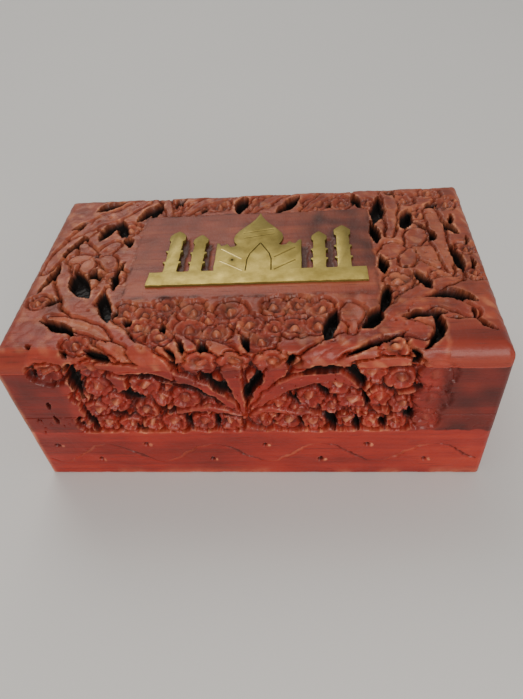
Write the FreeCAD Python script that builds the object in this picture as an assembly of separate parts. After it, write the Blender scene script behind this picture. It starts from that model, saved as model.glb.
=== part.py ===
"""Carved hardwood keepsake box with a hinged lid and a cut brass inlay.

Millimetres. The origin is the centre of the underside, +X runs along the length, +Y to the back and +Z up.
The base is a frame of planks on a floor panel, the lid a board on a frame of rims, and two brass butt
hinges let into the seam at the back join them. The closed lid turns about the hinge pins, and the bevelled
back edges of the two frames meet as its stop.
"""
import FreeCAD, Part
import math
import os

Vector = FreeCAD.Vector

# Closed box
box_length = 152.0
box_depth = 90.0
box_height = 60.0
base_height = 32.0
seam_gap = 0.2
corner_radius = 2.0

# Planks
wall_thickness = 10.0
lid_board_thickness = 7.0
lid_front_round = 6.0
lid_edge_round = 4.5
floor_thickness = 4.0
floor_rebate = 4.0
floor_clearance = 0.2

# Velvet linings
lining_thickness = 1.0
lining_clearance = 0.3

# Butt hinges
hinge_spacing = 84.0
hinge_length = 20.0
hinge_setback = 2.5
hinge_leaf_width = 6.5
hinge_leaf_thickness = 0.8
knuckle_count = 3
knuckle_radius = 1.5
knuckle_gap = 0.15
knuckle_clearance = 0.3
hinge_pin_radius = 0.7
hinge_pin_clearance = 0.04
lid_opening_angle = 100.0
bevel_spare_angle = 2.0

# Countersunk hinge screws
screw_spread = 11.0
screw_edge_distance = 2.2
screw_head_radius = 1.2
screw_head_depth = 0.6
screw_shank_radius = 0.6
screw_length = 5.0
fastener_sides = 8

# Relief carving
band_height = 24.0
nose_carved_height = 3.0
relief_depth = 2.0
lid_relief_depth = 1.6
void_depth = 4.4
flower_radius = 4.2
petal_count = 5
petal_notch_share = 0.66
petal_tip_turn_share = 0.46
leaf_cuts = 4
overrun = 5.0

# Plain panel in the middle of the lid, between the carved borders
panel_left_x = -41.5
panel_right_x = 41.0
panel_front_y = -19.5
panel_back_y = 29.0

# Incised wave and punched dots of the plain band
wave_period = 36.5
wave_height = 11.0
wave_middle_height = 12.5
wave_line_width = 0.8
wave_line_depth = 0.4
wave_phase_share = 0.08
dot_width = 1.2
dot_depth = 1.2
dot_offset = 4.6

# Brass inlay on the lid's plain panel
inlay_thickness = 1.4
inlay_proud = 0.8
inlay_center_x = 2.0
plinth_bottom_y = -13.5
plinth_length = 72.0
plinth_height = 7.0
building_width = 29.0
building_height = 16.0
building_dip = 1.6
dome_foot_width = 15.4
dome_width = 17.2
dome_height = 21.2
outer_tower_offset = 29.0
outer_tower_height = 24.6
inner_tower_offset = 20.6
inner_tower_height = 21.8
tower_width = 4.5
tower_cap_width = 5.5
tower_ledge_reach = 0.7
tower_ledge_height = 1.2
arch_width = 8.6
arch_height = 15.6
arch_swell = 0.9
engraving_width = 0.5
engraving_depth = 0.3
inlay_pin_radius = 0.6
inlay_pin_length = 4.0

# Heights of a tower's ledges and cap, and of the dome's widest line, as shares of their own heights
tower_ledge_shares = (0.2, 0.48)
tower_cap_share = 0.78
tower_crown_width_share = 0.62
tower_crown_share = 0.36
dome_widest_share = 0.2
dome_shoulder_share = 0.58
dome_shoulder_width_share = 0.62
dome_neck_share = 0.78
dome_neck_width_share = 0.24
inlay_pin_shares = (-0.29, 0.34)

# Wing engravings: ends as shares of half the building's width and of its height
wing_line_shares = (
    (-0.9, 0.82, -0.37, 0.42),
    (-0.9, 0.38, -0.35, 0.0),
    (0.38, 0.46, 0.8, 0.72),
    (0.4, 0.02, 0.88, 0.32),
)

# Ends of the carved fields, as shares of half the length on the front and of half the depth at the ends
front_field_shares = (-0.72, 0.765)
end_field_shares = (-0.66, 0.66)

# Front flowers: place along half the length, height up the carved field, and size, all as shares
front_flower_shares = (
    (-0.6, 0.61, 1.0), (-0.41, 0.6, 1.05), (-0.55, 0.4, 1.0), (-0.265, 0.42, 1.05),
    (-0.425, 0.31, 0.9), (-0.64, 0.29, 0.95), (-0.61, 0.11, 0.85), (-0.5, 0.12, 0.9), (-0.34, 0.14, 1.0),
    (-0.2, 0.15, 0.95), (-0.085, 0.14, 0.95), (0.05, 0.18, 0.95), (0.155, 0.13, 1.0), (0.26, 0.13, 0.95),
    (0.125, 0.36, 0.95), (0.24, 0.42, 1.0), (0.4, 0.36, 1.05), (0.35, 0.56, 1.05), (0.525, 0.44, 0.95),
    (0.61, 0.3, 0.85), (0.5, 0.72, 0.9), (0.6, 0.63, 1.0), (0.705, 0.69, 1.05), (0.705, 0.41, 0.9),
    (0.5, 0.13, 0.9), (0.63, 0.1, 0.85),
)

# Front stems and leaves: two tips as shares, then how far each side bows from the line between them
front_stem_shares = (
    (-0.01, 0.22, -0.56, 0.9, -1.9, -0.7), (-0.015, 0.25, -0.06, 0.84, -0.55, 0.45),
    (0.005, 0.36, 0.12, 0.78, 0.5, -0.1), (0.0, 0.3, 0.45, 0.58, 3.0, 1.9),
)

# Front voids: two tips, then the two bows, in the same shares
front_void_shares = (
    (-0.175, 0.78, -0.065, 0.48, 0.42, -0.42), (0.065, 0.79, -0.007, 0.43, 0.35, -0.35),
    (-0.49, 0.765, -0.3, 0.715, 0.25, -0.25), (-0.3, 0.69, -0.12, 0.4, 0.27, -0.27),
    (-0.69, 0.96, -0.685, 0.47, 0.35, -0.35), (0.22, 0.825, 0.4, 0.81, 0.22, -0.22),
    (0.395, 0.82, 0.445, 0.6, 0.25, -0.25), (-0.695, 0.33, -0.685, 0.04, 0.25, -0.25),
    (0.32, 0.27, 0.345, 0.02, 0.32, -0.32), (0.655, 0.28, 0.65, 0.13, 0.25, -0.25),
    (-0.84, 0.87, -0.84, 0.72, 0.15, -0.15), (-0.84, 0.45, -0.84, 0.34, 0.15, -0.15),
    (-0.84, 0.25, -0.84, 0.15, 0.15, -0.15),
)

# Outline of the lid's carved border, as shares of half the length and half the depth: its right front corner
# stays plain
lid_field_shares = (
    (-0.955, -0.867), (0.75, -0.867), (0.75, -0.7), (0.955, -0.7), (0.955, 0.93), (-0.955, 0.93),
)

# Lid flowers: place along half the length and half the depth, and size, all as shares
lid_flower_shares = (
    (-0.335, -0.5, 1.0), (-0.222, -0.56, 1.05), (-0.065, -0.565, 1.2), (0.11, -0.53, 1.0), (0.21, -0.51, 0.9),
    (0.3, -0.56, 1.0), (0.415, -0.61, 1.05), (-0.505, -0.555, 1.0), (-0.46, -0.72, 1.0), (-0.355, -0.71, 1.0),
    (-0.222, -0.74, 1.1), (0.02, -0.7, 1.0), (0.175, -0.71, 1.1), (0.29, -0.74, 0.95),
    (-0.758, 0.11, 1.6), (-0.61, -0.155, 1.1), (-0.61, 0.475, 0.9), (-0.88, 0.68, 1.05), (-0.91, -0.44, 0.95),
    (-0.91, -0.63, 0.95), (-0.87, -0.83, 1.1), (0.718, 0.1, 2.15), (0.624, -0.29, 1.05), (0.763, -0.22, 1.1),
    (0.65, 0.51, 0.85), (0.795, 0.57, 1.05), (0.908, 0.69, 0.95), (0.69, 0.8, 1.1), (-0.434, 0.787, 1.0),
    (-0.192, 0.8, 1.1), (0.02, 0.81, 1.1), (0.295, 0.78, 1.15), (0.413, 0.765, 1.0),
)

# Lid leaves and voids: two tips, then the two bows, in the same shares
lid_stem_shares = (
    (-0.88, 0.38, -0.56, 0.95, 0.9, -0.6), (-0.87, 0.07, -0.47, -1.0, 0.2, -1.75),
    (-0.7, -0.47, -0.64, -0.2, 0.9, -0.3), (-0.94, -0.07, -0.79, 0.47, 0.8, -0.3),
    (-0.82, -0.58, -0.54, -0.84, 0.8, -0.4), (0.61, 0.92, 0.615, 0.29, 0.9, -0.3),
    (0.35, -1.0, 0.92, -0.55, 1.4, 0.0), (0.59, -0.62, 0.9, -0.27, 0.8, -0.2),
    (0.54, -0.82, 0.77, -0.69, 0.6, -0.5), (0.84, 0.65, 0.855, -0.19, 0.5, -0.5),
    (-0.35, 0.68, -0.12, 0.95, 0.5, -0.4), (-0.03, 0.68, 0.16, 0.95, 0.5, -0.4),
    (0.23, 0.68, 0.46, 0.95, 0.5, -0.4),
)
lid_void_shares = (
    (-0.81, 0.78, -0.69, 0.9, 0.6, -0.6), (-0.67, 0.62, -0.725, 0.33, 0.6, -0.6),
    (-0.585, 0.6, -0.48, 0.89, 0.55, -0.55), (-0.61, 0.34, -0.585, 0.23, 0.35, -0.35),
    (-0.83, 0.41, -0.895, 0.1, 0.2, -0.5), (-0.88, 0.04, -0.92, -0.31, 0.15, -0.45),
    (-0.795, -0.06, -0.69, -0.38, 0.6, -0.6), (-0.58, 0.02, -0.57, -0.18, 0.3, -0.3),
    (-0.63, -0.32, -0.56, -0.65, 0.42, -0.42), (-0.85, -0.63, -0.7, -0.76, 0.32, -0.32),
    (0.59, 0.8, 0.555, 0.18, 0.5, -0.5), (0.555, 0.02, 0.56, -0.2, 0.3, -0.3),
    (0.56, -0.32, 0.55, -0.55, 0.3, -0.3), (0.717, 0.61, 0.69, 0.36, 0.42, -0.42),
    (0.73, 0.38, 0.81, 0.18, 0.5, 0.1), (0.91, 0.5, 0.88, 0.29, 0.3, -0.3),
    (0.74, -0.48, 0.88, -0.39, 0.55, -0.2), (0.605, -0.68, 0.78, -0.59, 0.45, -0.15),
    (-0.066, 0.84, -0.085, 0.65, 0.5, -0.5), (0.2, 0.86, 0.105, 0.65, 0.5, -0.5),
    (0.74, -0.69, 0.71, -0.87, 0.35, -0.35),
)

# End walls: the front's motif at their own width
end_flower_shares = (
    (-0.5, 0.62, 1.05), (0.5, 0.62, 1.05), (-0.3, 0.3, 1.0), (0.3, 0.3, 1.0),
    (-0.55, 0.2, 0.95), (0.55, 0.2, 0.95),
)
end_stem_shares = (
    (-0.01, 0.1, -0.5, 0.95, -1.9, -0.9), (0.01, 0.1, 0.5, 0.95, 1.9, 0.9), (0.0, 0.1, 0.0, 0.95, 0.6, -0.6),
)
end_void_shares = (
    (-0.2, 0.85, -0.05, 0.4, 0.35, -0.35), (0.2, 0.85, 0.05, 0.4, 0.35, -0.35),
)

# Places worked out from the sizes above
half_length = box_length / 2
half_depth = box_depth / 2
inner_length = box_length - 2 * wall_thickness
inner_depth = box_depth - 2 * wall_thickness
lid_bottom = base_height + seam_gap
lid_board_bottom = box_height - lid_board_thickness
hinge_axis_y = half_depth - hinge_setback
hinge_axis_z = base_height + seam_gap / 2
carved_height = box_height - band_height
inlay_bottom = box_height + inlay_proud - inlay_thickness
plinth_top_y = plinth_bottom_y + plinth_height


def block(x_low, x_high, y_low, y_high, z_low, z_high):
    """Rectangular solid between two corners."""
    corner = Vector(x_low, y_low, z_low)
    return Part.makeBox(x_high - x_low, y_high - y_low, z_high - z_low, corner)


def filled(edges):
    """Flat face inside a closed chain of edges."""
    return Part.Face(Part.Wire(Part.__sortEdges__(edges)))


def segment(start, end):
    """Straight edge between two points."""
    return Part.LineSegment(start, end).toShape()


def arc(start, middle, end):
    """Arc edge through three points."""
    return Part.Arc(start, middle, end).toShape()


def chain(points):
    """Closed chain of straight edges through a list of points."""
    return [segment(a, b) for a, b in zip(points, points[1:] + points[:1])]


class CarvedFace:
    """A flat face that is carved: u runs to its right, v up it, and w out of it."""

    def __init__(self, origin, right, up):
        out = right.cross(up)
        self.matrix = FreeCAD.Matrix(
            right.x, up.x, out.x, origin.x,
            right.y, up.y, out.y, origin.y,
            right.z, up.z, out.z, origin.z,
            0, 0, 0, 1,
        )

    def place(self, shape):
        """Move a shape from the face's own axes to the box's."""
        return shape.transformed(self.matrix)

    def sunk(self, face, depth):
        """Solid that sinks a flat outline to a depth below the face."""
        lowered = face.translated(Vector(0, 0, -depth))
        return lowered.extrude(Vector(0, 0, depth + overrun))


def rosette(center, radius):
    """Outline of a flower: petals of straight chisel cuts, with a notch between each two."""
    half_step = math.pi / petal_count
    tip_turn = half_step * petal_tip_turn_share
    points = []
    for index in range(petal_count):
        middle = math.pi / 2 + index * 2 * half_step
        for share, turn in ((petal_notch_share, -half_step), (1, -tip_turn), (1, tip_turn)):
            across = radius * share * math.cos(middle + turn)
            up = radius * share * math.sin(middle + turn)
            points.append(center + Vector(across, up, 0))
    return filled(chain(points))


def bowed(start, end, left_bow, right_bow):
    """Outline between two tips: each side in straight chisel cuts, bowed to the left by its own amount."""
    along = end - start
    across = Vector(-along.y, along.x, 0).normalize()
    left = []
    right = []
    for cut in range(1, leaf_cuts):
        share = cut / leaf_cuts
        bulge = 4 * share * (1 - share)
        left.append(start + along * share + across * left_bow * bulge)
        right.append(start + along * share + across * right_bow * bulge)
    return filled(chain([start] + left + [end] + right[::-1]))


def rectangle(u_low, u_high, v_low, v_high):
    """Flat rectangle on a face."""
    return filled(chain([
        Vector(u_low, v_low, 0), Vector(u_high, v_low, 0),
        Vector(u_high, v_high, 0), Vector(u_low, v_high, 0),
    ]))


def relief(face, field, depth, tables, u_size, v_low, v_size):
    """Tools that sink a carved field round its flowers and stems, and then the deeper voids.

    The tables of flowers, stems and voids hold shares: u_size and v_size are what they are taken of, and
    v_low is the height of share zero.
    """
    flowers, stems, voids = tables

    def spot(u_share, v_share):
        return Vector(u_share * u_size, v_low + v_share * v_size, 0)

    def outline(row):
        left_bow, right_bow = (share * flower_radius for share in row[4:])
        return bowed(spot(*row[:2]), spot(*row[2:4]), left_bow, right_bow)

    standing = [rosette(spot(u, v), size * flower_radius) for u, v, size in flowers]
    standing += [outline(row) for row in stems]
    islands = [face.sunk(shape, depth + overrun) for shape in standing]
    ground = face.sunk(field, depth).cut(islands)
    pockets = [face.sunk(outline(row), void_depth) for row in voids]
    return [face.place(tool) for tool in [ground] + pockets]


def punched_dot(u, v):
    """Pit of a square-pointed punch, set cornerwise."""
    half = dot_width / 2
    rim = [Vector(u + half, v, 0), Vector(u, v + half, 0), Vector(u - half, v, 0), Vector(u, v - half, 0)]
    point = Vector(u, v, -dot_depth)
    faces = [filled(chain([a, b, point])) for a, b in zip(rim, rim[1:] + rim[:1])]
    return Part.Solid(Part.Shell(faces + [filled(chain(rim))]))


def wave_line(face, u_low, u_high):
    """Tools for the incised wave and its dots: half periods of two arcs each, one dot in each bend."""
    half_period = wave_period / 2
    rise = wave_height / 2
    chord = half_period / 2
    bend = (chord ** 2 + rise ** 2) / (2 * rise)
    first = math.floor((u_low / half_period) - wave_phase_share) - 1
    last = math.ceil((u_high / half_period) - wave_phase_share) + 1
    field = Part.makeBox(
        u_high - u_low, band_height, wave_line_depth + overrun, Vector(u_low, 0, -wave_line_depth)
    )
    tools = []
    for index in range(first, last):
        crest = 1 if index % 2 else -1
        middle = (index + wave_phase_share) * half_period
        hub = Vector(middle, wave_middle_height + crest * (rise - bend), 0)
        half_angle = math.asin(chord / bend)

        def on_arc(radius, turn):
            return hub + Vector(radius * math.sin(turn), crest * radius * math.cos(turn), 0)

        outer = bend + wave_line_width / 2
        inner = bend - wave_line_width / 2
        bend_face = filled([
            arc(on_arc(outer, -half_angle), on_arc(outer, 0), on_arc(outer, half_angle)),
            segment(on_arc(outer, half_angle), on_arc(inner, half_angle)),
            arc(on_arc(inner, half_angle), on_arc(inner, 0), on_arc(inner, -half_angle)),
            segment(on_arc(inner, -half_angle), on_arc(outer, -half_angle)),
        ])
        line = face.sunk(bend_face, wave_line_depth).common(field)
        if line.Solids:
            tools.append(line)
        if u_low + corner_radius < middle < u_high - corner_radius:
            tools.append(punched_dot(middle, wave_middle_height + crest * (rise - 2 * dot_offset)))
    return [face.place(tool) for tool in tools]


def rounded_plan():
    """Upright prism of the box's plan, with its rounded corners."""
    prism = block(-half_length, half_length, -half_depth, half_depth, -overrun, box_height + overrun)
    uprights = [edge for edge in prism.Edges if edge.Vertexes[0].X == edge.Vertexes[1].X
                and edge.Vertexes[0].Y == edge.Vertexes[1].Y]
    return prism.makeFillet(corner_radius, uprights)


def hinge_bevel():
    """Wedge between the back edges of the lid and the base, with its edge on the hinge axis."""
    half_angle = math.radians(lid_opening_angle / 2 + bevel_spare_angle / 2)
    reach = hinge_setback + overrun
    rise = reach * math.tan(half_angle)
    points = [
        Vector(-half_length - overrun, hinge_axis_y, hinge_axis_z),
        Vector(-half_length - overrun, hinge_axis_y + reach, hinge_axis_z - rise),
        Vector(-half_length - overrun, hinge_axis_y + reach, hinge_axis_z + rise),
    ]
    return filled(chain(points)).extrude(Vector(box_length + 2 * overrun, 0, 0))


def lid_board():
    """Lid board: rounded along its front, ends and back, the rounds meeting in mitres."""
    top = box_height
    low = lid_board_bottom
    slant = 1 - math.sqrt(0.5)

    def profile(near, far, near_round, far_round, point):
        near_bend = point(near + near_round * slant, top - near_round * slant)
        far_bend = point(far - far_round * slant, top - far_round * slant)
        return filled([
            segment(point(near, low), point(near, top - near_round)),
            arc(point(near, top - near_round), near_bend, point(near + near_round, top)),
            segment(point(near + near_round, top), point(far - far_round, top)),
            arc(point(far - far_round, top), far_bend, point(far, top - far_round)),
            segment(point(far, top - far_round), point(far, low)),
            segment(point(far, low), point(near, low)),
        ])

    across = profile(
        -half_depth, half_depth, lid_front_round, lid_edge_round,
        lambda y, z: Vector(-half_length, y, z),
    ).extrude(Vector(box_length, 0, 0))
    along = profile(
        -half_length, half_length, lid_edge_round, lid_edge_round,
        lambda x, z: Vector(x, -half_depth, z),
    ).extrude(Vector(0, box_depth, 0))
    return across.common(along)


def frame_planks(low, high):
    """Four planks of a frame between two heights: front and back full length, the ends between them."""
    inner_x = half_length - wall_thickness
    inner_y = half_depth - wall_thickness
    return {
        "front": block(-half_length, half_length, -half_depth, -inner_y, low, high),
        "back": block(-half_length, half_length, inner_y, half_depth, low, high),
        "left": block(-half_length, -inner_x, -inner_y, inner_y, low, high),
        "right": block(inner_x, half_length, -inner_y, inner_y, low, high),
    }


def hinge_centers():
    """Middle of each hinge on the hinge axis, by side."""
    return {
        "left": Vector(-hinge_spacing / 2, hinge_axis_y, hinge_axis_z),
        "right": Vector(hinge_spacing / 2, hinge_axis_y, hinge_axis_z),
    }


def knuckle_span(index):
    """Start and length of one of the knuckles along the hinge."""
    length = (hinge_length - (knuckle_count - 1) * knuckle_gap) / knuckle_count
    return -hinge_length / 2 + index * (length + knuckle_gap), length


def round_bar(center, start, length, radius):
    """Cylinder along X, placed from the middle of a hinge."""
    return Part.makeCylinder(radius, length, center + Vector(start, 0, 0), Vector(1, 0, 0))


def leaf_plate(center, side, start, length, y_low, y_high):
    """Flat plate of a leaf, below the hinge axis (side -1) or above it (side 1)."""
    near = center.z + side * seam_gap / 2
    far = near + side * hinge_leaf_thickness
    return block(
        center.x + start, center.x + start + length, center.y + y_low, center.y + y_high,
        min(near, far), max(near, far),
    )


def hinge_leaf(center, side, own_knuckles, bore):
    """Leaf of a butt hinge: a plate that stops short of the knuckles, and its own knuckles on tongues."""
    stop = -(knuckle_radius + knuckle_clearance)
    leaf = leaf_plate(center, side, -hinge_length / 2, hinge_length, -hinge_leaf_width, stop)
    for start, length in own_knuckles:
        tongue = leaf_plate(center, side, start, length, stop, 0)
        leaf = leaf.fuse([tongue, round_bar(center, start, length, knuckle_radius)])
    leaf = leaf.cut(round_bar(center, -hinge_length / 2 - overrun, hinge_length + 2 * overrun, bore))
    return leaf.removeSplitter()


def hinge_seat(center, side):
    """Mortise for a leaf and its knuckles in the wood."""
    length = hinge_length + 2 * knuckle_clearance
    seat = round_bar(center, -length / 2, length, knuckle_radius + knuckle_clearance)
    return [leaf_plate(center, side, -hinge_length / 2, hinge_length, -hinge_leaf_width, 0), seat]


def faceted(radius, height):
    """Corners of the sides of a small round fastener at a height."""
    turn = 2 * math.pi / fastener_sides
    points = []
    for index in range(fastener_sides):
        angle = index * turn
        points.append(Vector(radius * math.cos(angle), radius * math.sin(angle), height))
    return points


def countersunk_screw():
    """Screw along -Z with its head flush at zero, in flat facets."""
    rings = [
        faceted(screw_head_radius, 0), faceted(screw_shank_radius, -screw_head_depth),
        faceted(screw_shank_radius, -screw_length),
    ]
    faces = [filled(chain(rings[0])), filled(chain(rings[-1]))]
    for upper, lower in zip(rings, rings[1:]):
        for index in range(fastener_sides):
            before = index - 1
            faces.append(filled(chain([upper[before], upper[index], lower[index], lower[before]])))
    return Part.Solid(Part.Shell(faces))


def hinge_screws(side):
    """Screws of both leaves on one side of the seam, heads flush with the leaves."""
    screws = []
    for center in hinge_centers().values():
        for turn in (-1, 1):
            screw = countersunk_screw()
            if side > 0:
                screw = screw.mirror(Vector(), Vector(0, 0, 1))
            spot = center + Vector(
                turn * screw_spread / 2, screw_edge_distance - hinge_leaf_width, side * seam_gap / 2
            )
            screws.append(screw.translated(spot))
    return screws


def tower(offset, height):
    """Outline of a tower: a shaft with ledges, a wider cap and a sawn crown that comes to a point."""
    x = inlay_center_x + offset
    half = tower_width / 2
    cap_half = tower_cap_width / 2
    low = plinth_top_y
    cap_y = low + height * tower_cap_share
    top = low + height

    def at(side, reach, y):
        return Vector(x + side * reach, y, 0)

    sides = []
    for side in (1, -1):
        points = [at(side, half, low)]
        for share in tower_ledge_shares:
            y = low + height * share
            points += [at(side, half, y), at(side, half + tower_ledge_reach, y + tower_ledge_height)]
            points.append(at(side, half, y + tower_ledge_height))
        points += [at(side, half, cap_y), at(side, cap_half, cap_y + tower_ledge_height)]
        points.append(at(side, cap_half, top - cap_half))
        points.append(at(side, cap_half * tower_crown_width_share, top - cap_half * tower_crown_share))
        sides.append(points)
    return filled(chain(sides[0] + [Vector(x, top, 0)] + sides[1][::-1]))


def onion_dome():
    """Outline of the dome: a swelling arc on each side, then a hollow arc to the point."""
    foot_y = plinth_top_y + building_height - 2 * building_dip

    def at(side, width, share):
        return Vector(inlay_center_x + side * width / 2, foot_y + dome_height * share, 0)

    edges = [segment(at(-1, dome_foot_width, 0), at(1, dome_foot_width, 0))]
    for side in (1, -1):
        foot = at(side, dome_foot_width, 0)
        widest = at(side, dome_width, dome_widest_share)
        shoulder = at(side, dome_width * dome_shoulder_width_share, dome_shoulder_share)
        neck = at(side, dome_width * dome_neck_width_share, dome_neck_share)
        edges.append(arc(foot, widest, shoulder))
        edges.append(arc(shoulder, neck, at(side, 0, 1)))
    return filled(edges)


def building():
    """Outline of the building's body, its top dipping between the corner points."""
    half = building_width / 2
    top = plinth_top_y + building_height
    points = [
        Vector(inlay_center_x - half, plinth_top_y, 0), Vector(inlay_center_x + half, plinth_top_y, 0),
        Vector(inlay_center_x + half, top, 0), Vector(inlay_center_x, top - 2 * building_dip, 0),
        Vector(inlay_center_x - half, top, 0),
    ]
    return filled(chain(points))


def plinth():
    """Outline of the plinth."""
    half = plinth_length / 2
    points = [
        Vector(inlay_center_x - half, plinth_bottom_y, 0), Vector(inlay_center_x + half, plinth_bottom_y, 0),
        Vector(inlay_center_x + half, plinth_top_y, 0), Vector(inlay_center_x - half, plinth_top_y, 0),
    ]
    return filled(chain(points))


def inlay_sheet(low, high):
    """The whole outline of the inlay as one sheet between two heights."""
    outlines = [plinth(), building(), onion_dome()]
    for side in (-1, 1):
        outlines.append(tower(side * outer_tower_offset, outer_tower_height))
        outlines.append(tower(side * inner_tower_offset, inner_tower_height))
    sheets = [face.translated(Vector(0, 0, low)).extrude(Vector(0, 0, high - low)) for face in outlines]
    return sheets[0].multiFuse(sheets[1:]).removeSplitter()


def engraved(outlines):
    """Grooves in the top of the inlay, each from the edges round its line."""
    floor = Vector(0, 0, box_height + inlay_proud - engraving_depth)
    lift = Vector(0, 0, overrun)
    return [filled(edges).translated(floor).extrude(lift) for edges in outlines]


def inlay_engraving():
    """Pointed arch of the doorway and the slanting lines of the wings."""
    lines = []
    half = engraving_width / 2
    wing = building_width / 2
    for u_start, v_start, u_end, v_end in wing_line_shares:
        start = Vector(inlay_center_x + u_start * wing, plinth_top_y + v_start * building_height, 0)
        end = Vector(inlay_center_x + u_end * wing, plinth_top_y + v_end * building_height, 0)
        along = (end - start).normalize()
        across = Vector(-along.y, along.x, 0) * half
        lines.append(chain([start + across, end + across, end - across, start - across]))
    for side in (-1, 1):
        foot = Vector(inlay_center_x + side * arch_width / 2, plinth_top_y, 0)
        apex = Vector(inlay_center_x, plinth_top_y + arch_height, 0)
        swell = (foot + apex) / 2 + Vector(side * arch_swell, 0, 0)
        inward = Vector(-side * engraving_width, 0, 0)
        drop = Vector(0, -engraving_width, 0)
        lines.append([
            arc(foot, swell, apex), segment(apex, apex + drop),
            arc(apex + drop, swell + inward, foot + inward), segment(foot + inward, foot),
        ])
    return engraved(lines)


def inlay_pin():
    """Pin through the left wing into the lid board, its head flush with the sheet."""
    u_share, v_share = inlay_pin_shares
    spot = Vector(
        inlay_center_x + u_share * building_width, plinth_top_y + v_share * building_height,
        box_height + inlay_proud,
    )
    head = filled(chain(faceted(inlay_pin_radius, 0)))
    return head.extrude(Vector(0, 0, -inlay_pin_length)).translated(spot)


def lining(low):
    """Sheet of velvet that fills the inside of a frame."""
    half_x = inner_length / 2 - lining_clearance
    half_y = inner_depth / 2 - lining_clearance
    return block(-half_x, half_x, -half_y, half_y, low, low + lining_thickness)


def build():
    """Make every piece of the closed box, by name."""
    front = CarvedFace(Vector(0, -half_depth, 0), Vector(1, 0, 0), Vector(0, 0, 1))
    left_end = CarvedFace(Vector(-half_length, 0, 0), Vector(0, -1, 0), Vector(0, 0, 1))
    right_end = CarvedFace(Vector(half_length, 0, 0), Vector(0, 1, 0), Vector(0, 0, 1))
    lid_top = CarvedFace(Vector(0, 0, box_height), Vector(1, 0, 0), Vector(0, 1, 0))
    front_left, front_right = (share * half_length for share in front_field_shares)
    front_top = lid_board_bottom + nose_carved_height
    front_relief = relief(
        front, rectangle(front_left, front_right, band_height, front_top), relief_depth,
        (front_flower_shares, front_stem_shares, front_void_shares), half_length, band_height, carved_height,
    )
    border = filled(chain([Vector(u * half_length, v * half_depth, 0) for u, v in lid_field_shares]))
    panel = rectangle(panel_left_x, panel_right_x, panel_front_y, panel_back_y)
    lid_relief = relief(
        lid_top, border.cut(panel), lid_relief_depth,
        (lid_flower_shares, lid_stem_shares, lid_void_shares), half_length, 0, half_depth,
    )
    end_low, end_high = (share * half_depth for share in end_field_shares)
    end_relief = {}
    for name, face in (("left", left_end), ("right", right_end)):
        end_relief[name] = relief(
            face, rectangle(end_low, end_high, band_height, lid_board_bottom), relief_depth,
            (end_flower_shares, end_stem_shares, end_void_shares),
            half_depth, band_height, lid_board_bottom - band_height,
        )

    plan = rounded_plan()
    bevel = hinge_bevel()
    base_screws = hinge_screws(-1)
    lid_screws = hinge_screws(1)
    centers = hinge_centers()
    base_seats = [cut for center in centers.values() for cut in hinge_seat(center, -1)]
    lid_seats = [cut for center in centers.values() for cut in hinge_seat(center, 1)]

    pocket_x = inner_length / 2 + floor_rebate
    pocket_y = inner_depth / 2 + floor_rebate
    floor_pocket = block(-pocket_x, pocket_x, -pocket_y, pocket_y, -overrun, floor_thickness)
    panel_x = pocket_x - floor_clearance
    panel_y = pocket_y - floor_clearance
    floor_panel = block(-panel_x, panel_x, -panel_y, panel_y, 0, floor_thickness)

    base = frame_planks(0, base_height)
    lid = frame_planks(lid_bottom, lid_board_bottom)
    nodes = {}
    nodes["base_front_wall"] = base["front"].common(plan).cut(
        [floor_pocket] + front_relief + wave_line(front, -half_length, half_length)
    )
    nodes["base_back_wall"] = base["back"].common(plan).cut(
        [floor_pocket, bevel] + base_seats + base_screws
    )
    for name in ("left", "right"):
        nodes[f"base_{name}_wall"] = base[name].cut([floor_pocket] + end_relief[name])
        nodes[f"lid_{name}_rim"] = lid[name].cut(end_relief[name])
    nodes["base_floor_panel"] = floor_panel
    nodes["floor_lining"] = lining(floor_thickness)
    nodes["lid_front_rim"] = lid["front"].common(plan).cut(front_relief)
    nodes["lid_back_rim"] = lid["back"].common(plan).cut([bevel] + lid_seats + lid_screws)
    nodes["lid_lining"] = lining(lid_board_bottom - lining_thickness)

    pin = inlay_pin()
    sheet = inlay_sheet(inlay_bottom, box_height + inlay_proud)
    nodes["lid_top_board"] = lid_board().common(plan).cut(front_relief + lid_relief + [sheet, pin])
    nodes["brass_inlay"] = sheet.cut([pin] + inlay_engraving())
    nodes["inlay_pin"] = pin

    for name, center in centers.items():
        knuckles = [knuckle_span(index) for index in range(knuckle_count)]
        base_leaf = hinge_leaf(center, -1, knuckles[::2], hinge_pin_radius)
        lid_leaf = hinge_leaf(center, 1, knuckles[1::2], hinge_pin_radius + hinge_pin_clearance)
        nodes[f"hinge_{name}_base_leaf"] = base_leaf.cut(base_screws)
        nodes[f"hinge_{name}_lid_leaf"] = lid_leaf.cut(lid_screws)
        nodes[f"hinge_{name}_pin"] = round_bar(center, -hinge_length / 2, hinge_length, hinge_pin_radius)
    nodes["base_hinge_screws"] = Part.Compound(base_screws)
    nodes["lid_hinge_screws"] = Part.Compound(lid_screws)
    return nodes


os.makedirs("parts", exist_ok=True)
for node_name, node_shape in build().items():
    node_shape.exportStep(f"parts/{node_name}.step")
    print(node_name, len(node_shape.Solids), node_shape.isValid(), round(node_shape.Volume, 1))
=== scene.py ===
"""Looks of a carved hardwood keepsake box with a brass inlay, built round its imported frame.

The frame is in metres. Carving is drawn in millimetres on each face, as a carver lays it out: x along the
front, z up it, and y from the front of the lid to its back.
"""
import logging
import math
from contextlib import contextmanager
from dataclasses import dataclass, field, replace
from enum import Enum, IntEnum
from typing import Callable, Iterable, Iterator, Sequence

import bpy
import numpy as np
from mathutils import Matrix, Vector


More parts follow.
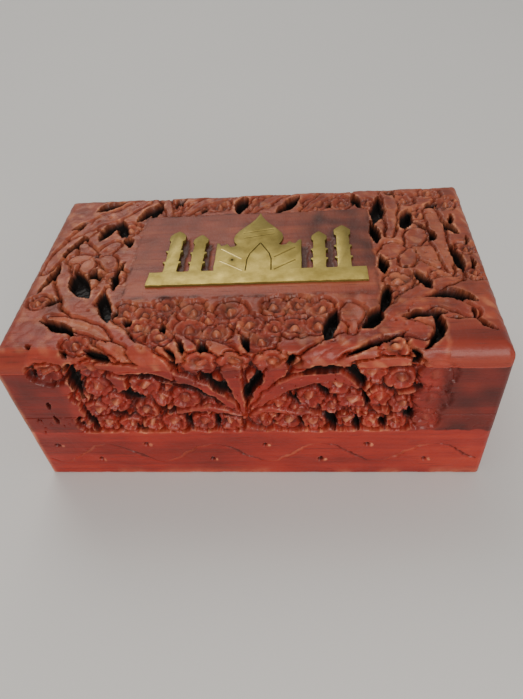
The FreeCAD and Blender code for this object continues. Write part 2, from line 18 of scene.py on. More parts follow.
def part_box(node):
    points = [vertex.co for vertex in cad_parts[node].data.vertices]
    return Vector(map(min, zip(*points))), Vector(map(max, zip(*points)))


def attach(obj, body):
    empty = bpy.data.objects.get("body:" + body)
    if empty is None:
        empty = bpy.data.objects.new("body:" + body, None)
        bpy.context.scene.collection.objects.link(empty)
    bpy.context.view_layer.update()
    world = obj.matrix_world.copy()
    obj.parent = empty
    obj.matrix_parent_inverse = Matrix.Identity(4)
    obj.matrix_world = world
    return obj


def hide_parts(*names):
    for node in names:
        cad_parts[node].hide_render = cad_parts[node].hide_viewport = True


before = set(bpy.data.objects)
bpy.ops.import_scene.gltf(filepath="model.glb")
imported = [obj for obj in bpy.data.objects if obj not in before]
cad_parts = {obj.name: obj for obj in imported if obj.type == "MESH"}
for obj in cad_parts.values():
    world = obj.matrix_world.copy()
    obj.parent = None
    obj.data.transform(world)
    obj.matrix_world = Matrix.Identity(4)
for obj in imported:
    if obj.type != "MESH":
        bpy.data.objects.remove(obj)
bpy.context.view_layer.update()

LOG = logging.getLogger("keepsake_box")
MM = 0.001
TAU = 2 * math.pi
GOLDEN_TURN = 2.39996
GOLDEN_SHARE = 0.618
Point = tuple[float, float]
Place = tuple[float, float, float]
Rgb = tuple[float, float, float]
Chooser = Callable[[np.ndarray, np.ndarray], np.ndarray]


class Facing(Enum):
    """Upright faces of the box that are carved."""

    FRONT = "front"
    LEFT = "left"
    RIGHT = "right"


class GrainAxis(Enum):
    """Which way the grain of a plank runs."""

    LENGTHWISE = "x"
    CROSSWISE = "y"


class Body(Enum):
    """The two halves that the hinges join."""

    BASE = "base"
    LID = "lid"


class Uneven(IntEnum):
    """Numbers that fix the uneven patterns of the inlay, the linings and the lid."""

    SAW_ACROSS = 51
    SAW_ALONG = 52
    FLOOR_VELVET = 71
    LID_VELVET = 81
    EDGE_FACETS = 91
    PLANING = 92
    BORDER_STAIN = 93
    GOUGES = 94
    PANEL_RIM = 95
    RUBBING = 96
    POLISH = 97
    NOSE_STAIN = 98
    LEDGE_STAIN = 99


@dataclass(frozen=True)
class BoxSizes:
    """Outer sizes of the closed box and its planks, in millimetres."""

    half_length: float = 76.0
    half_depth: float = 45.0
    height: float = 60.0
    base_height: float = 32.0
    lid_bottom: float = 32.2
    board_bottom: float = 53.0
    wall: float = 10.0
    floor_rebate: float = 4.0
    floor_thickness: float = 4.0
    band_height: float = 24.0
    corner_round: float = 2.0
    nose_round: float = 6.0
    edge_round: float = 4.5


BOX = BoxSizes()


# Shared shaping functions


def smooth(share: np.ndarray) -> np.ndarray:
    """Ease a share from 0 to 1."""
    held = np.clip(share, 0, 1)
    return held * held * (3 - 2 * held)


def between(values: np.ndarray, low: float, high: float, soft: float) -> np.ndarray:
    """Share of a stretch from low to high, soft at both ends."""
    return smooth((values - low) / soft) * smooth((high - values) / soft)


def beside(u: np.ndarray, v: np.ndarray, start: Point, end: Point) -> tuple[np.ndarray, np.ndarray]:
    """Where places lie beside a straight line.

    Args:
        u: Places across the face, in millimetres.
        v: Places up the face.
        start: One end of the line.
        end: The other end.

    Returns:
        How far along the line they lie, as shares, and their distances from it.
    """
    (u0, v0), (u1, v1) = start, end
    run = max((u1 - u0) ** 2 + (v1 - v0) ** 2, 1e-9)
    t = np.clip(((u - u0) * (u1 - u0) + (v - v0) * (v1 - v0)) / run, 0, 1)
    return t, np.hypot(u - u0 - t * (u1 - u0), v - v0 - t * (v1 - v0))


def waver(u: np.ndarray, v: np.ndarray, length: float, seed: int, terms: int = 7) -> np.ndarray:
    """Gentle unevenness of hand work.

    Args:
        u: Places across the face, in millimetres.
        v: Places up the face.
        length: Typical distance between two swells.
        seed: Number that fixes the pattern.
        terms: How many swells are laid over each other.

    Returns:
        Values between about -1 and 1.
    """
    rng = np.random.default_rng(seed)
    total = np.zeros_like(u)
    for _ in range(terms):
        turn, phase = rng.uniform(0, TAU, 2)
        pitch = rng.uniform(0.6, 1.7) * TAU / length
        total += np.sin((u * math.cos(turn) + v * math.sin(turn)) * pitch + phase)
    return total / math.sqrt(terms)


def scallops(u: np.ndarray, v: np.ndarray, size: float, seed: int) -> np.ndarray:
    """Overlapping gouge cuts.

    Args:
        u: Places across the face, in millimetres.
        v: Places up the face.
        size: Typical width of one cut.
        seed: Number that fixes the pattern.

    Returns:
        Distance to the middle of the nearest cut, as a share of its width.
    """
    cells = 61
    jitter = np.random.default_rng(seed).random((cells, cells, 2))
    column, row = np.floor(u / size).astype(int), np.floor(v / size).astype(int)
    nearest = np.full(u.shape, 9.0)
    for right in (-1, 0, 1):
        for up in (-1, 0, 1):
            spot = jitter[(column + right) % cells, (row + up) % cells]
            du = column + right + spot[..., 0] - u / size
            dv = row + up + spot[..., 1] - v / size
            nearest = np.minimum(nearest, du * du + dv * dv)
    return np.sqrt(nearest)


def softened(values: np.ndarray, reach: int) -> np.ndarray:
    """Average of a grid of values over a square of neighbours.

    Args:
        values: Rows and columns of numbers.
        reach: Neighbours to each side.

    Returns:
        The averaged grid.
    """
    span = 2 * reach + 1
    for axis in (0, 1):
        pads = [(0, 0), (0, 0)]
        pads[axis] = (reach + 1, reach)
        sums = np.cumsum(np.pad(values, pads, mode="edge"), axis=axis)
        high = np.take(sums, range(span, sums.shape[axis]), axis=axis)
        low = np.take(sums, range(sums.shape[axis] - span), axis=axis)
        values = (high - low) / span
    return values


def curve_through(points: Sequence[Point], widths: Sequence[float], steps: int = 7) -> np.ndarray:
    """Smooth line through given points.

    Args:
        points: The points, in order.
        widths: Width of the stroke at each point.
        steps: Parts that each stretch is divided into.

    Returns:
        Rows of u, v and width along the line.
    """
    rows = np.array([(*p, w) for p, w in zip(points, widths)], float)
    ends = np.vstack([2 * rows[0] - rows[1], rows, 2 * rows[-1] - rows[-2]])
    line = []
    for index in range(1, len(rows)):
        a, b, c, d = ends[index - 1:index + 3]
        for t in np.arange(steps) / steps:
            line.append(0.5 * (2 * b + (c - a) * t + (2 * a - 5 * b + 4 * c - d) * t ** 2
                               + (3 * b - a - 3 * c + d) * t ** 3))
    line.append(rows[-1])
    return np.array(line)


# The drawing of the carving


@dataclass(frozen=True)
class Stroke:
    """A stem, leaf or petal: a line of points, its width at each, its section, its wear with painted highlight,
    and whether it grows out of the one before it."""

    points: tuple[Point, ...]
    widths: tuple[float, ...]
    hollow: float = 0.0
    vein: float = 0.0
    top: float = -0.1
    wear_and_highlight: float = 0.0
    joined: bool = False

    def mirrored(self) -> "Stroke":
        """The same stroke on the other side of the middle line."""
        return replace(self, points=tuple((-x, y) for x, y in self.points))


@dataclass(frozen=True)
class CarvedMotif:
    """What is carved on one face: flowers (x, y, reach), strokes, and voids (x, y, x, y, width, bow)."""

    flowers: tuple[tuple[float, float, float], ...]
    strokes: tuple[Stroke, ...]
    voids: tuple[tuple[float, ...], ...]
    nicks: int
    seed: int
    stop_cut: float = 1.7

    def with_mirror(self) -> "CarvedMotif":
        """Whole motif of a left half and its middle line.

        Returns:
            The motif with each shape off the middle line followed by its mirror image.
        """
        flowers, strokes, voids = [], [], []
        for x, y, reach in self.flowers:
            flowers += [(x, y, reach), (-x, y, reach)] if x else [(x, y, reach)]
        for stroke in self.strokes:
            strokes += [stroke, stroke.mirrored()] if stroke.points[0][0] else [stroke]
        for x0, y0, x1, y1, width, bow in self.voids:
            voids += [(x0, y0, x1, y1, width, bow), (-x0, y0, -x1, y1, width, -bow)]
        return replace(self, flowers=tuple(flowers), strokes=tuple(strokes), voids=tuple(voids))


FRONT_MOTIF = CarvedMotif(
    flowers=(
        (-60, 53, 4.6), (-46, 54.5, 4.5), (-46, 46, 4.3), (-31, 46, 4.6), (-42, 38.5, 4.3), (-20, 40, 4.6),
        (-27, 40.5, 3.2), (-33, 34.8, 3.9), (-49, 35, 4.0), (-47, 28.3, 3.7), (-39.5, 28, 3.8), (-32.5, 28, 3.4),
        (-25, 28.6, 4.2), (-15.5, 28.6, 4.1), (-7, 28.4, 4.0), (3.6, 30.4, 4.2), (11.8, 28.8, 4.2),
        (20, 28.2, 4.0), (9.3, 37, 4.0), (18.8, 40, 4.4), (25.4, 36, 3.3), (31.6, 38.6, 4.5), (27, 46, 4.5),
        (39.6, 39.8, 4.2), (46.6, 36.4, 3.7), (37.2, 50.6, 4.2), (45.2, 48, 4.4), (55.2, 49.4, 5.0),
        (55, 39.2, 5.0), (30, 29, 3.6), (38.5, 28.4, 3.6), (45.4, 28, 3.5), (54, 30, 3.8),
        (-54, 28, 2.8), (-13, 56.2, 5.2), (-3, 56.2, 4.8), (8, 56.2, 5.2),
        (-36, 41.5, 2.6), (-12.5, 36, 2.8), (15.5, 34, 2.9), (-52.5, 41.5, 2.4), (34, 33, 2.6),
    ),
    strokes=(
        Stroke(((-1.4, 31), (-7, 38.2), (-13, 44.2), (-22, 49.6), (-31, 53), (-43, 55.6)),
               (1.6, 4.0, 5.2, 5.2, 4.6, 2.6), 0.25),
        Stroke(((-1.4, 31), (-2.2, 38), (-3.3, 45), (-4.2, 52.5)), (1.2, 2.4, 4.2, 5.6), 0.3),
        Stroke(((-0.4, 33.5), (3.0, 41.5), (8, 50), (14.5, 57)), (1.2, 3.2, 4.6, 3.2), 0.75),
        Stroke(((0.4, 33.5), (5, 39.7), (11.5, 45.4), (20, 49.4), (27.6, 49.2), (33, 44.8)),
               (1.2, 3.2, 4.6, 4.6, 3.8, 1.6), 0.3),
        Stroke(((-1.8, 31), (-9, 34.6), (-16, 35.4), (-26, 33.4)), (1.4, 2.2, 1.8, 1.0), -0.2),
        Stroke(((0, 31.5), (5, 35), (12, 33.4), (22, 32.6)), (1.4, 2.0, 1.8, 1.0), -0.2),
        Stroke(((33, 54), (42, 55.6), (50, 55)), (2.0, 4.4, 2.0), 0.3),
        Stroke(((-23.4, 50.6), (-25.6, 54.4), (-28.6, 58.4), (-31.6, 62)), (3.4, 7.4, 7.2, 6.4), 0.15,
               joined=True),
    ),
    voids=(
        (-13.8, 52.4, -4.6, 40.6, 4.0, 0.3), (5.2, 53, -0.9, 38.8, 3.4, -0.4), (-38, 51.6, -21, 49.0, 2.4, 0.4),
        (-23, 48.6, -8, 37.4, 2.6, 0.5), (-52.8, 59.4, -52, 40.6, 3.2, 0.2), (-39.8, 44.4, -32.6, 39.2, 4.2, 0),
        (14.4, 51.2, 31, 52.2, 3.3, 1.0), (29, 53.9, 34.8, 44.2, 3.2, 1.1), (-53.2, 36.4, -52, 24.8, 2.4, 0.2),
        (23.8, 33.6, 26.6, 24.6, 3.2, 0.3), (48.4, 34.8, 49.6, 28.6, 2.8, 0.2), (21.6, 45.4, 25, 40.6, 2.4, 0),
        (-12, 33.6, -2.6, 31.2, 1.8, 0.5), (13.6, 61, 13.4, 52.6, 2.2, 0), (-22.4, 61, -19.6, 52.6, 2.4, 0.3),
        (49.4, 61, 49.2, 52.6, 2.2, -0.5), (-43, 61, -40.6, 56.6, 2.6, 0), (-64, 55.4, -64, 50, 1.4, 0.1),
        (-64, 40, -64, 36.4, 1.4, 0), (-64.2, 33, -64, 29.4, 1.4, 0), (40.6, 31, 42.2, 24.6, 2.4, 0),
        (32.6, 31.4, 33.6, 24.6, 2.2, 0), (-38, 27, -35.2, 24.2, 2.2, 0), (34.6, 43, 36.4, 34.6, 2.0, 0.2),
        (-28, 36.4, -23.4, 33, 2.0, 0), (-44.4, 33.4, -37.2, 32.2, 1.8, 0), (12.4, 42.4, 15.6, 36.4, 2.2, 0),
        (48.6, 44.8, 52, 43.6, 2.0, 0.3), (-20.6, 33.2, -19.6, 25, 1.8, 0), (15.4, 32.6, 16.2, 25, 1.8, 0),
        (-11.2, 32, -10.8, 25, 1.6, 0), (41.6, 45, 44.6, 42.6, 2.0, 0), (-57, 31, -55.8, 26, 1.6, 0),
    ),
    nicks=150,
    seed=11,
)

LID_MOTIF = CarvedMotif(
    flowers=(
        (-38.5, -25, 4.2), (-25.5, -22.6, 4.0), (-17, -25, 4.3), (-5, -25.4, 5.0), (8.6, -23.8, 4.2),
        (15.8, -23, 3.8), (22.8, -25.2, 4.3), (-32, -26, 3.9), (-33, -31.4, 4.0),
        (-25.4, -36, 4.0), (-17, -33, 4.7), (1.4, -31.6, 4.3), (14.6, -33.2, 4.6), (21.8, -32.6, 4.3),
        (-8.6, -35, 4.6), (5.4, -38.6, 4.6), (-11.4, -29.2, 3.0), (-27, -28.6, 2.8), (8.8, -33.4, 3.4),
        (-55.2, 5.2, 1.7), (-46.6, -7, 4.6), (-46.4, 21.4, 3.8), (-68.6, -19, 3.4), (-50.4, -39, 4.0),
        (53.4, 4.6, 1.8), (47.4, -12.6, 4.4), (60.6, -11.4, 3.8), (49.4, 23, 3.4), (59.4, 24.6, 4.2),
        (69, 31, 4.0), (54.4, 35, 4.2), (71, 3, 3.0), (71.4, -10, 3.2), (47, -20.4, 3.0),
        (-33, 35.4, 4.3), (-24, 34.4, 4.3), (-14.6, 36, 4.6), (1.4, 36.4, 4.6), (22.4, 35, 4.8),
        (31.4, 34.4, 4.3), (41, 33, 3.0), (64, 39, 4.0), (43, -42, 4.2),
    ),
    strokes=(
        Stroke(((-67, 17), (-60.5, 27), (-52.5, 32.4), (-44, 41)), (2.4, 5.2, 6.4, 4.0), 0.2, 0.3),
        Stroke(((-66, 3), (-63, -8), (-57, -18.5), (-51, -25), (-44.4, -30.2), (-38.6, -34.6), (-34.4, -39),
                (-29.6, -43.8), (-26, -47.4)), (2.0, 5.0, 7.2, 7.4, 5.6, 4.8, 5.4, 6.8, 7.6), 0.15),
        Stroke(((-53, -21), (-50.2, -14), (-49, -9.6)), (6.0, 4.4, 1.6), 0.2, joined=True),
        Stroke(((-71.5, -3), (-69, 8), (-65, 15.6), (-60, 21)), (2.0, 4.0, 4.2, 1.8), 0.3),
        Stroke(((-62, -27), (-55, -29.2), (-48.4, -31.8), (-44, -34.2), (-40.8, -36.6)),
               (1.6, 4.4, 4.6, 3.6, 1.2), 0.7, wear_and_highlight=0.5),
        Stroke(((-44, -38), (-39, -40.8), (-34, -45.4)), (1.6, 4.2, 3.0), 0.5, wear_and_highlight=0.3),
        Stroke(((-56.2, 6), (-59.6, 8.8), (-61.4, 11.4)), (2.4, 5.4, 4.0), 0.5),
        Stroke(((-56.6, 4.8), (-60.4, 4.4), (-63, 3.8)), (2.4, 5.2, 4.0), 0.5, wear_and_highlight=0.35),
        Stroke(((-56, 3.8), (-57, 0.8), (-57.6, -1.2)), (2.4, 5.4, 4.6), 0.5, wear_and_highlight=0.35),
        Stroke(((-53.8, 4.4), (-50.8, 2.8), (-48.8, -0.2)), (2.4, 5.2, 4.2), 0.5),
        Stroke(((-54.2, 6.6), (-51.8, 9.4), (-50.2, 11.4)), (2.4, 5.4, 4.4), 0.5),
        Stroke(((52, 5), (47.6, 3.6), (45, 1.8)), (3.0, 8.4, 5.6), 0.5),
        Stroke(((53.2, 6.4), (55.4, 10.4), (56.4, 13.2)), (3.0, 7.4, 6.0), 0.5),
        Stroke(((54.6, 4), (58.4, 1.4), (61, -2.2)), (3.0, 9.0, 7.2), 0.6, wear_and_highlight=0.3),
        Stroke(((52.8, 2.8), (51.8, -1.4), (50.4, -4.2)), (2.6, 5.4, 4.0), 0.4),
        Stroke(((-37, 43), (-33, 30)), (3.6, 2.0), 0.3),
        Stroke(((48.8, 41), (49.4, 29), (47.2, 12)), (4.0, 4.2, 2.6), 0.2),
        Stroke(((16, -48.4), (22.5, -44.2), (29, -40), (34.8, -36.6), (40.4, -32.6), (46.4, -26.6), (51.6, -19.6),
                (58.4, -15), (66, -12.6)), (6.4, 6.6, 6.2, 5.8, 6.2, 6.0, 5.2, 4.4, 1.8), 0.1, 0.2),
        Stroke(((41, -32.4), (47, -27.2), (52.4, -24), (58, -23.4), (63, -25.6), (66.4, -28.4)),
               (4.6, 5.2, 4.8, 4.4, 5.0, 4.0), 0.1, 0.2, joined=True),
        Stroke(((40, -34.8), (46, -34), (51.4, -36)), (3.4, 6.0, 5.6), 0.3, joined=True),
        Stroke(((31.9, -26.8), (31.8, -29.6), (32, -32.4), (31.6, -35.4)), (7.4, 6.0, 3.2, 2.6), 0.6, wear_and_highlight=0.25),
        Stroke(((62.6, 27), (63.4, 17), (63.2, 6), (64.4, -8.5)), (3.6, 4.6, 4.4, 2.0), 0.2, wear_and_highlight=0.25),
        Stroke(((-28, 30), (-19.6, 39.6), (-9, 43)), (1.6, 4.2, 2.4), 0.3, 0.3),
        Stroke(((-2, 30), (5, 38.6), (12, 43)), (1.6, 4.0, 2.4), 0.3, 0.3),
        Stroke(((17.6, 30), (26, 40.4), (34.6, 43)), (1.6, 4.2, 2.4), 0.3, 0.3),
        Stroke(((-20, -35.6), (-15, -41), (-8, -47)), (1.4, 3.6, 2.8), 0.3),
        Stroke(((-10.6, -39.2), (-6.6, -42.2), (-3.4, -46)), (2.0, 5.2, 4.0), 0.4, wear_and_highlight=0.4),
    ),
    voids=(
        (-62.6, 34.4, -52, 41.2, 5.6, 0.6), (-50.8, 28.8, -56.8, 14, 5.4, -0.6), (-44.8, 26, -36.6, 39.6, 5.0, 0.5),
        (-51.2, 28, -48, 16, 3.6, 0.3), (-39.4, 26.8, -37, 38.6, 3.0, 0), (-69, 22, -64.4, 27.4, 2.2, 0),
        (-63.8, 18.8, -60.6, 14.4, 1.6, 0.3), (-57.4, -7.2, -49.8, -6.2, 3.6, 0), (-52.8, -1.6, -55.2, -8.6, 3.4, 0),
        (-32.2, 37.2, -27.8, 42, 3.4, 0), (-46.4, 16.4, -44, 10, 3.4, 0), (-62.6, 18.6, -68, 6, 3.0, 0.4),
        (-67, 2.4, -70.4, -14.4, 2.6, 0.9), (-60.6, -2.6, -52, -17.6, 6.4, -1.0),
        (-43.8, 1.4, -44.4, -14.6, 2.8, -1.6),
        (-48.2, -14, -42.4, -30, 4.2, -0.5), (-65.4, -21.6, -61.8, -17, 3.0, 0), (-64.8, -28.2, -52, -35, 4.4, 0.8),
        (45.2, 37.4, 42.6, 19, 5.0, 0.4), (41.2, 21, 42.4, 7, 3.8, 0.3), (42.6, 1.2, 43.4, -9.4, 3.2, 0.2),
        (44, -14, 41.4, -27.4, 3.8, -0.2), (54.8, 28, 52.2, 15, 4.4, 0.3), (55.4, 19.2, 61.4, 14, 1.4, 0.3),
        (60.8, 15, 61.4, 7.2, 2.4, 0.3), (66, 19.6, 69.8, 11, 2.8, 0), (69.6, 23.4, 68.6, 17, 2.2, 0),
        (66.4, 5.4, 67.8, -9, 3.2, 0.2), (54.6, -20.9, 69.2, -24, 4.8, 2.9), (46, -29.9, 59.6, -29.2, 3.8, 1.0),
        (56, -28, 51.4, -43, 3.6, 2.4), (29.4, -45.2, 47, -36.7, 2.6, 0.9), (67.2, -26, 66.6, -31.6, 1.3, 0),
        (66.6, -30.8, 71.8, -37, 1.4, 0), (58.6, -31.1, 66.8, -31.2, 1.0, 0), (48, -42.6, 50.6, -46.4, 2.2, 0),
        (40.6, -25.4, 34.8, -35.2, 5.0, 0.4), (27, -25, 24, -39.4, 4.2, 0), (49.6, -5.6, 50.8, -7.4, 1.4, 0),
        (-5.4, 41.4, -6.6, 29, 4.8, 0), (16, 40, 7.6, 29, 5.2, 0.4), (36, 40, 38.6, 30.6, 2.4, 0),
        (61.6, 28.6, 66, 31.4, 2.6, 0), (52.4, -8, 57, -17.4, 3.8, 0.3), (48, 40.6, 52, 37.8, 2.4, 0),
        (-12.8, -37.6, -11.2, -45, 2.6, 0), (-0.8, -35.4, 1.6, -43, 2.8, 0), (-47.4, -40.6, -39.6, -46, 3.6, 0),
        (-23.4, -40.4, -20.6, -46.4, 1.6, 0.5), (-36.9, -32, -31.6, -39.2, 1.0, 0.3),
        (-65.6, -38.8, -64.2, -40.8, 1.3, 0), (-54.6, -41.2, -52.4, -44.4, 1.8, 0), (-37.8, -28, -36, -31.2, 2.6, 0),
        (-26.2, -30.4, -24.6, -33.6, 2.4, 0), (-19.4, -37.2, -17.6, -43.8, 2.0, 0),
        (71.6, -2, 71.8, -8, 1.6, 0), (72, 10, 71.6, 5.6, 1.4, 0), (-42, -22.6, -41.4, -27.6, 1.8, 0),
        (-20.8, 30.6, -19.2, 35, 2.0, 0), (26.6, 30.4, 27.4, 35, 1.8, 0), (-56, 7, -54, 5.4, 1.6, 0),
    ),
    nicks=260,
    seed=23,
    stop_cut=1.3,
)

END_MOTIF = CarvedMotif(
    flowers=(
        (-23, 49, 4.8), (-13, 36.6, 4.6), (-25, 37.4, 4.4), (-9.4, 28.4, 4.2), (-18, 28.6, 4.2), (-26, 28.4, 4.0),
        (0, 27.4, 3.4), (-20, 42.4, 3.0), (-8.6, 55, 4.6), (-30, 44, 3.0),
    ),
    strokes=(
        Stroke(((-0.4, 29), (-5, 39), (-12, 46), (-20, 51), (-28, 53)), (1.4, 3.8, 4.8, 4.4, 2.2), 0.3),
        Stroke(((0, 29), (0, 38), (0, 46), (0, 54)), (1.2, 2.8, 4.6, 5.0), 0.4),
        Stroke(((-1, 29), (-8, 33), (-16, 33.6), (-24, 32.6)), (1.2, 2.2, 1.8, 1.0), -0.2),
    ),
    voids=(
        (-9.4, 52.4, -2.4, 39, 4.2, -0.4), (-19, 48, -8.4, 38.4, 2.6, 0.5), (-28.8, 52, -28.2, 41, 2.4, 0),
        (-19.4, 40.4, -18.4, 34, 2.2, 0), (-13.6, 31.6, -13.4, 25, 2.0, 0), (-22, 31.6, -22, 25, 1.8, 0),
        (-30.4, 36, -30, 25.4, 2.0, 0), (-4.6, 31, -5, 25, 1.6, 0),
    ),
    nicks=70,
    seed=37,
).with_mirror()


@dataclass(frozen=True)
class FlowerCut:
    """How a flower is carved: numbers of petals in turn, and heights in millimetres."""

    petals: tuple[int, ...] = (5, 6, 4, 5)
    sunk: float = 0.3
    bowl: float = 1.45
    heart: float = 0.95
    lift: float = 0.3
    parting: float = 0.55
    lean: float = 0.28
    shoulder: float = 0.55


@dataclass(frozen=True)
class BandPattern:
    """Incised wave of the plain band, and the punched dots that stray beside it."""

    period: float = 36.5
    middle: float = 12.4
    rise: float = 4.9
    phase: float = 4.2
    depth: float = 0.7
    dot_depth: float = 1.8
    dot_above: float = 4.6
    dot_below: float = 3.6
    dot_reach: float = 2.0
    astray: tuple[float, ...] = (0.7, -4.7, -4.6, -1.1, -0.9, -0.6, -3.7, -2.3)


FLOWER = FlowerCut()
BAND = BandPattern()


@dataclass(frozen=True)
class Standing:
    """A shape left standing: its places, heights, distances outside its outline, and rubbing with painted highlight.
    """

    at: np.ndarray
    top: np.ndarray
    away: np.ndarray
    rub_and_highlight: np.ndarray


@dataclass
class Relief:
    """Heights of a carved face over a grid of places, in millimetres below its planed surface."""

    u: np.ndarray
    v: np.ndarray
    seed: int
    ground_depth: float = 2.3
    void_depth: float = 5.2
    margin: float = 1.9
    stem_cut: float = 1.5
    chip_size: float = 1.5
    gouge_size: float = 2.8
    outer_reach: float = 2.6
    height: np.ndarray = field(init=False)
    gap: np.ndarray = field(init=False)
    grime: np.ndarray = field(init=False)
    rub_and_highlight: np.ndarray = field(init=False)

    def __post_init__(self) -> None:
        """Start from the planed face, with the waver of the hand in every outline."""
        self.height, self.grime, self.rub_and_highlight = (np.zeros_like(self.u) for _ in range(3))
        self.gap = np.full(self.u.shape, 99.0)
        self.hand_u, self.hand_v = self.by_hand(self.u, self.seed), self.by_hand(self.v, self.seed + 2)
        self.chatter = scallops(self.hand_u, self.hand_v, self.chip_size, self.seed + 4)

    def by_hand(self, places: np.ndarray, seed: int) -> np.ndarray:
        """Places with the slow drift and the short tremble of the hand."""
        drift, tremble = 0.32 * waver(self.u, self.v, 9.0, seed), 0.12 * waver(self.u, self.v, 2.6, seed + 1)
        return places + drift + tremble

    def near(self, left: float, right: float, low: float, high: float) -> np.ndarray:
        """Indices of the places inside a rectangle."""
        inside = (self.hand_u > left) & (self.hand_u < right) & (self.hand_v > low) & (self.hand_v < high)
        return np.flatnonzero(inside)

    def add_grime_and_shade(self, share: np.ndarray, at: np.ndarray | slice = slice(None)) -> None:
        """Darken with dirt and painted shade where it is less dark."""
        self.grime[at] = np.maximum(self.grime[at], share)

    def add_rub_and_highlight(self, share: np.ndarray, at: np.ndarray | slice = slice(None)) -> None:
        """Lighten towards the rubbed colour, for wear and painted highlights, where it is less light."""
        self.rub_and_highlight[at] = np.maximum(self.rub_and_highlight[at], share)

    def sink(self, field: np.ndarray) -> None:
        """Cut the ground away round the motif.

        Args:
            field: Share of the full depth that is allowed at each place.
        """
        near = smooth((self.margin - self.gap) / 1.1) * field
        cuts = scallops(self.hand_u, self.hand_v, self.gouge_size, self.seed + 5)
        floor = self.ground_depth - 0.45 * (cuts - 0.35) - 0.15 * (self.chatter - 0.4)
        self.height = np.minimum(self.height, -near * floor)

    def flower(self, x: float, y: float, reach: float, index: int) -> Standing:
        """Shape a flower: petals at uneven heights, with a raised rim round a hollow, and a heart.

        Args:
            x: Middle of the flower across the face.
            y: Middle of the flower up the face.
            reach: Radius of the flower.
            index: Its number, which sets its turn and its petals.

        Returns:
            The places round it, their heights, and their distances outside it.
        """
        edge = reach + self.outer_reach
        at = self.near(x - edge, x + edge, y - edge, y + edge)
        turn = index * GOLDEN_TURN
        step = TAU / FLOWER.petals[index % len(FLOWER.petals)]
        du, dv = (self.hand_u[at] - x) / reach, (self.hand_v[at] - y) / reach
        a = du * math.cos(turn) + dv * math.sin(turn)
        b = dv * math.cos(turn) - du * math.sin(turn)
        rho, theta = np.hypot(a, b), np.arctan2(b, a)
        off = np.abs((theta / step) % 1 - 0.5) * step
        line = rho * reach * np.sin(np.minimum(step / 2 - off, math.pi / 2))
        notch = np.exp(-(line / 0.55) ** 2)
        rim = rho / (1 - 0.14 * notch)
        bowl = -FLOWER.bowl * np.exp(-((rim - 0.38) / 0.28) ** 2)
        heart = np.exp(-((a - 0.06) / 0.34) ** 4 - (b / 0.24) ** 4)
        lift = FLOWER.lift * np.sin(2.3 * np.floor(theta / step) + 1.7 * index) * smooth((rho - 0.3) / 0.3)
        cut = -FLOWER.parting * np.clip(1 - line / 0.42, 0, 1) * smooth((rho - 0.34) / 0.25)
        lean = FLOWER.lean * (du * math.cos(3 * turn) + dv * math.sin(3 * turn))
        shoulder = -FLOWER.shoulder * smooth((rim - 0.82) / 0.18)
        top = -FLOWER.sunk + bowl + FLOWER.heart * heart + lift + cut + lean + shoulder \
            - 0.12 * (self.chatter[at] - 0.4)
        # Painted highlight on the heart, with rubbing.
        rubbed_and_lit = heart * (0.3 + 0.7 * (index * GOLDEN_SHARE % 1))
        return Standing(at, np.minimum(top, 0), (rim - 1) * reach, rubbed_and_lit)

    def stroke(self, stroke: Stroke) -> Standing:
        """Shape a stem or leaf.

        Args:
            stroke: Its line, widths and section.

        Returns:
            The places round it, their heights, and their distances outside it.
        """
        line = curve_through(stroke.points, stroke.widths)
        reach = max(stroke.widths) / 2 + self.outer_reach
        at = self.near(line[:, 0].min() - reach, line[:, 0].max() + reach,
                       line[:, 1].min() - reach, line[:, 1].max() + reach)
        u, v = self.hand_u[at], self.hand_v[at]
        away = np.full(u.shape, 1e6)
        half = np.ones_like(u)
        for (*start, first), (*end, last) in zip(line[:-1], line[1:]):
            t, gap = beside(u, v, start, end)
            half = np.where(gap < away, np.maximum((first + t * (last - first)) / 2, 0.2), half)
            away = np.minimum(gap, away)
        q = np.minimum(away / half, 1)
        section = -stroke.hollow * (1 - q * q) - max(-stroke.hollow, 0) * 0.6 * q * q
        vein = -stroke.vein * np.exp(-(away / 0.3) ** 2)
        edge = -0.3 * smooth((q - 0.8) / 0.2)
        top = stroke.top + section + vein + edge - 0.06 * (self.chatter[at] - 0.4)
        # Rubbing with painted highlight along the stroke's middle, as much as the stroke asks for.
        return Standing(at, np.minimum(top, 0), away - half, stroke.wear_and_highlight * smooth(1.3 - q))

    def stand(self, shape: Standing, trench: float) -> None:
        """Leave a shape standing, with a stop cut along its outline.

        Args:
            shape: What is left standing.
            trench: Depth of the stop cut.
        """
        ease, reach = 0.3, 1.2
        within = shape.away <= 0
        cut = -trench * np.clip(shape.away / 0.35, 0, 1) * np.clip(1.5 - shape.away / 0.8, 0, 1)
        outside = np.minimum(self.height[shape.at], np.where(shape.away < reach, cut, 0))
        blend = smooth(shape.away / ease)
        eased = shape.top * (1 - blend) + outside * blend
        self.height[shape.at] = np.where(within, shape.top, np.where(shape.away < ease, eased, outside))
        self.rub_and_highlight[shape.at] = np.where(within, shape.rub_and_highlight, self.rub_and_highlight[shape.at])
        # Painted shade with dirt along the stop cut round the shape.
        dirt_and_shade = 0.17 * trench * trench * smooth((shape.away + 0.3) / 0.4) * np.clip(1.6 - shape.away / 0.9, 0, 1)
        self.grime[shape.at] = np.where(within, dirt_and_shade, np.maximum(self.grime[shape.at], dirt_and_shade))

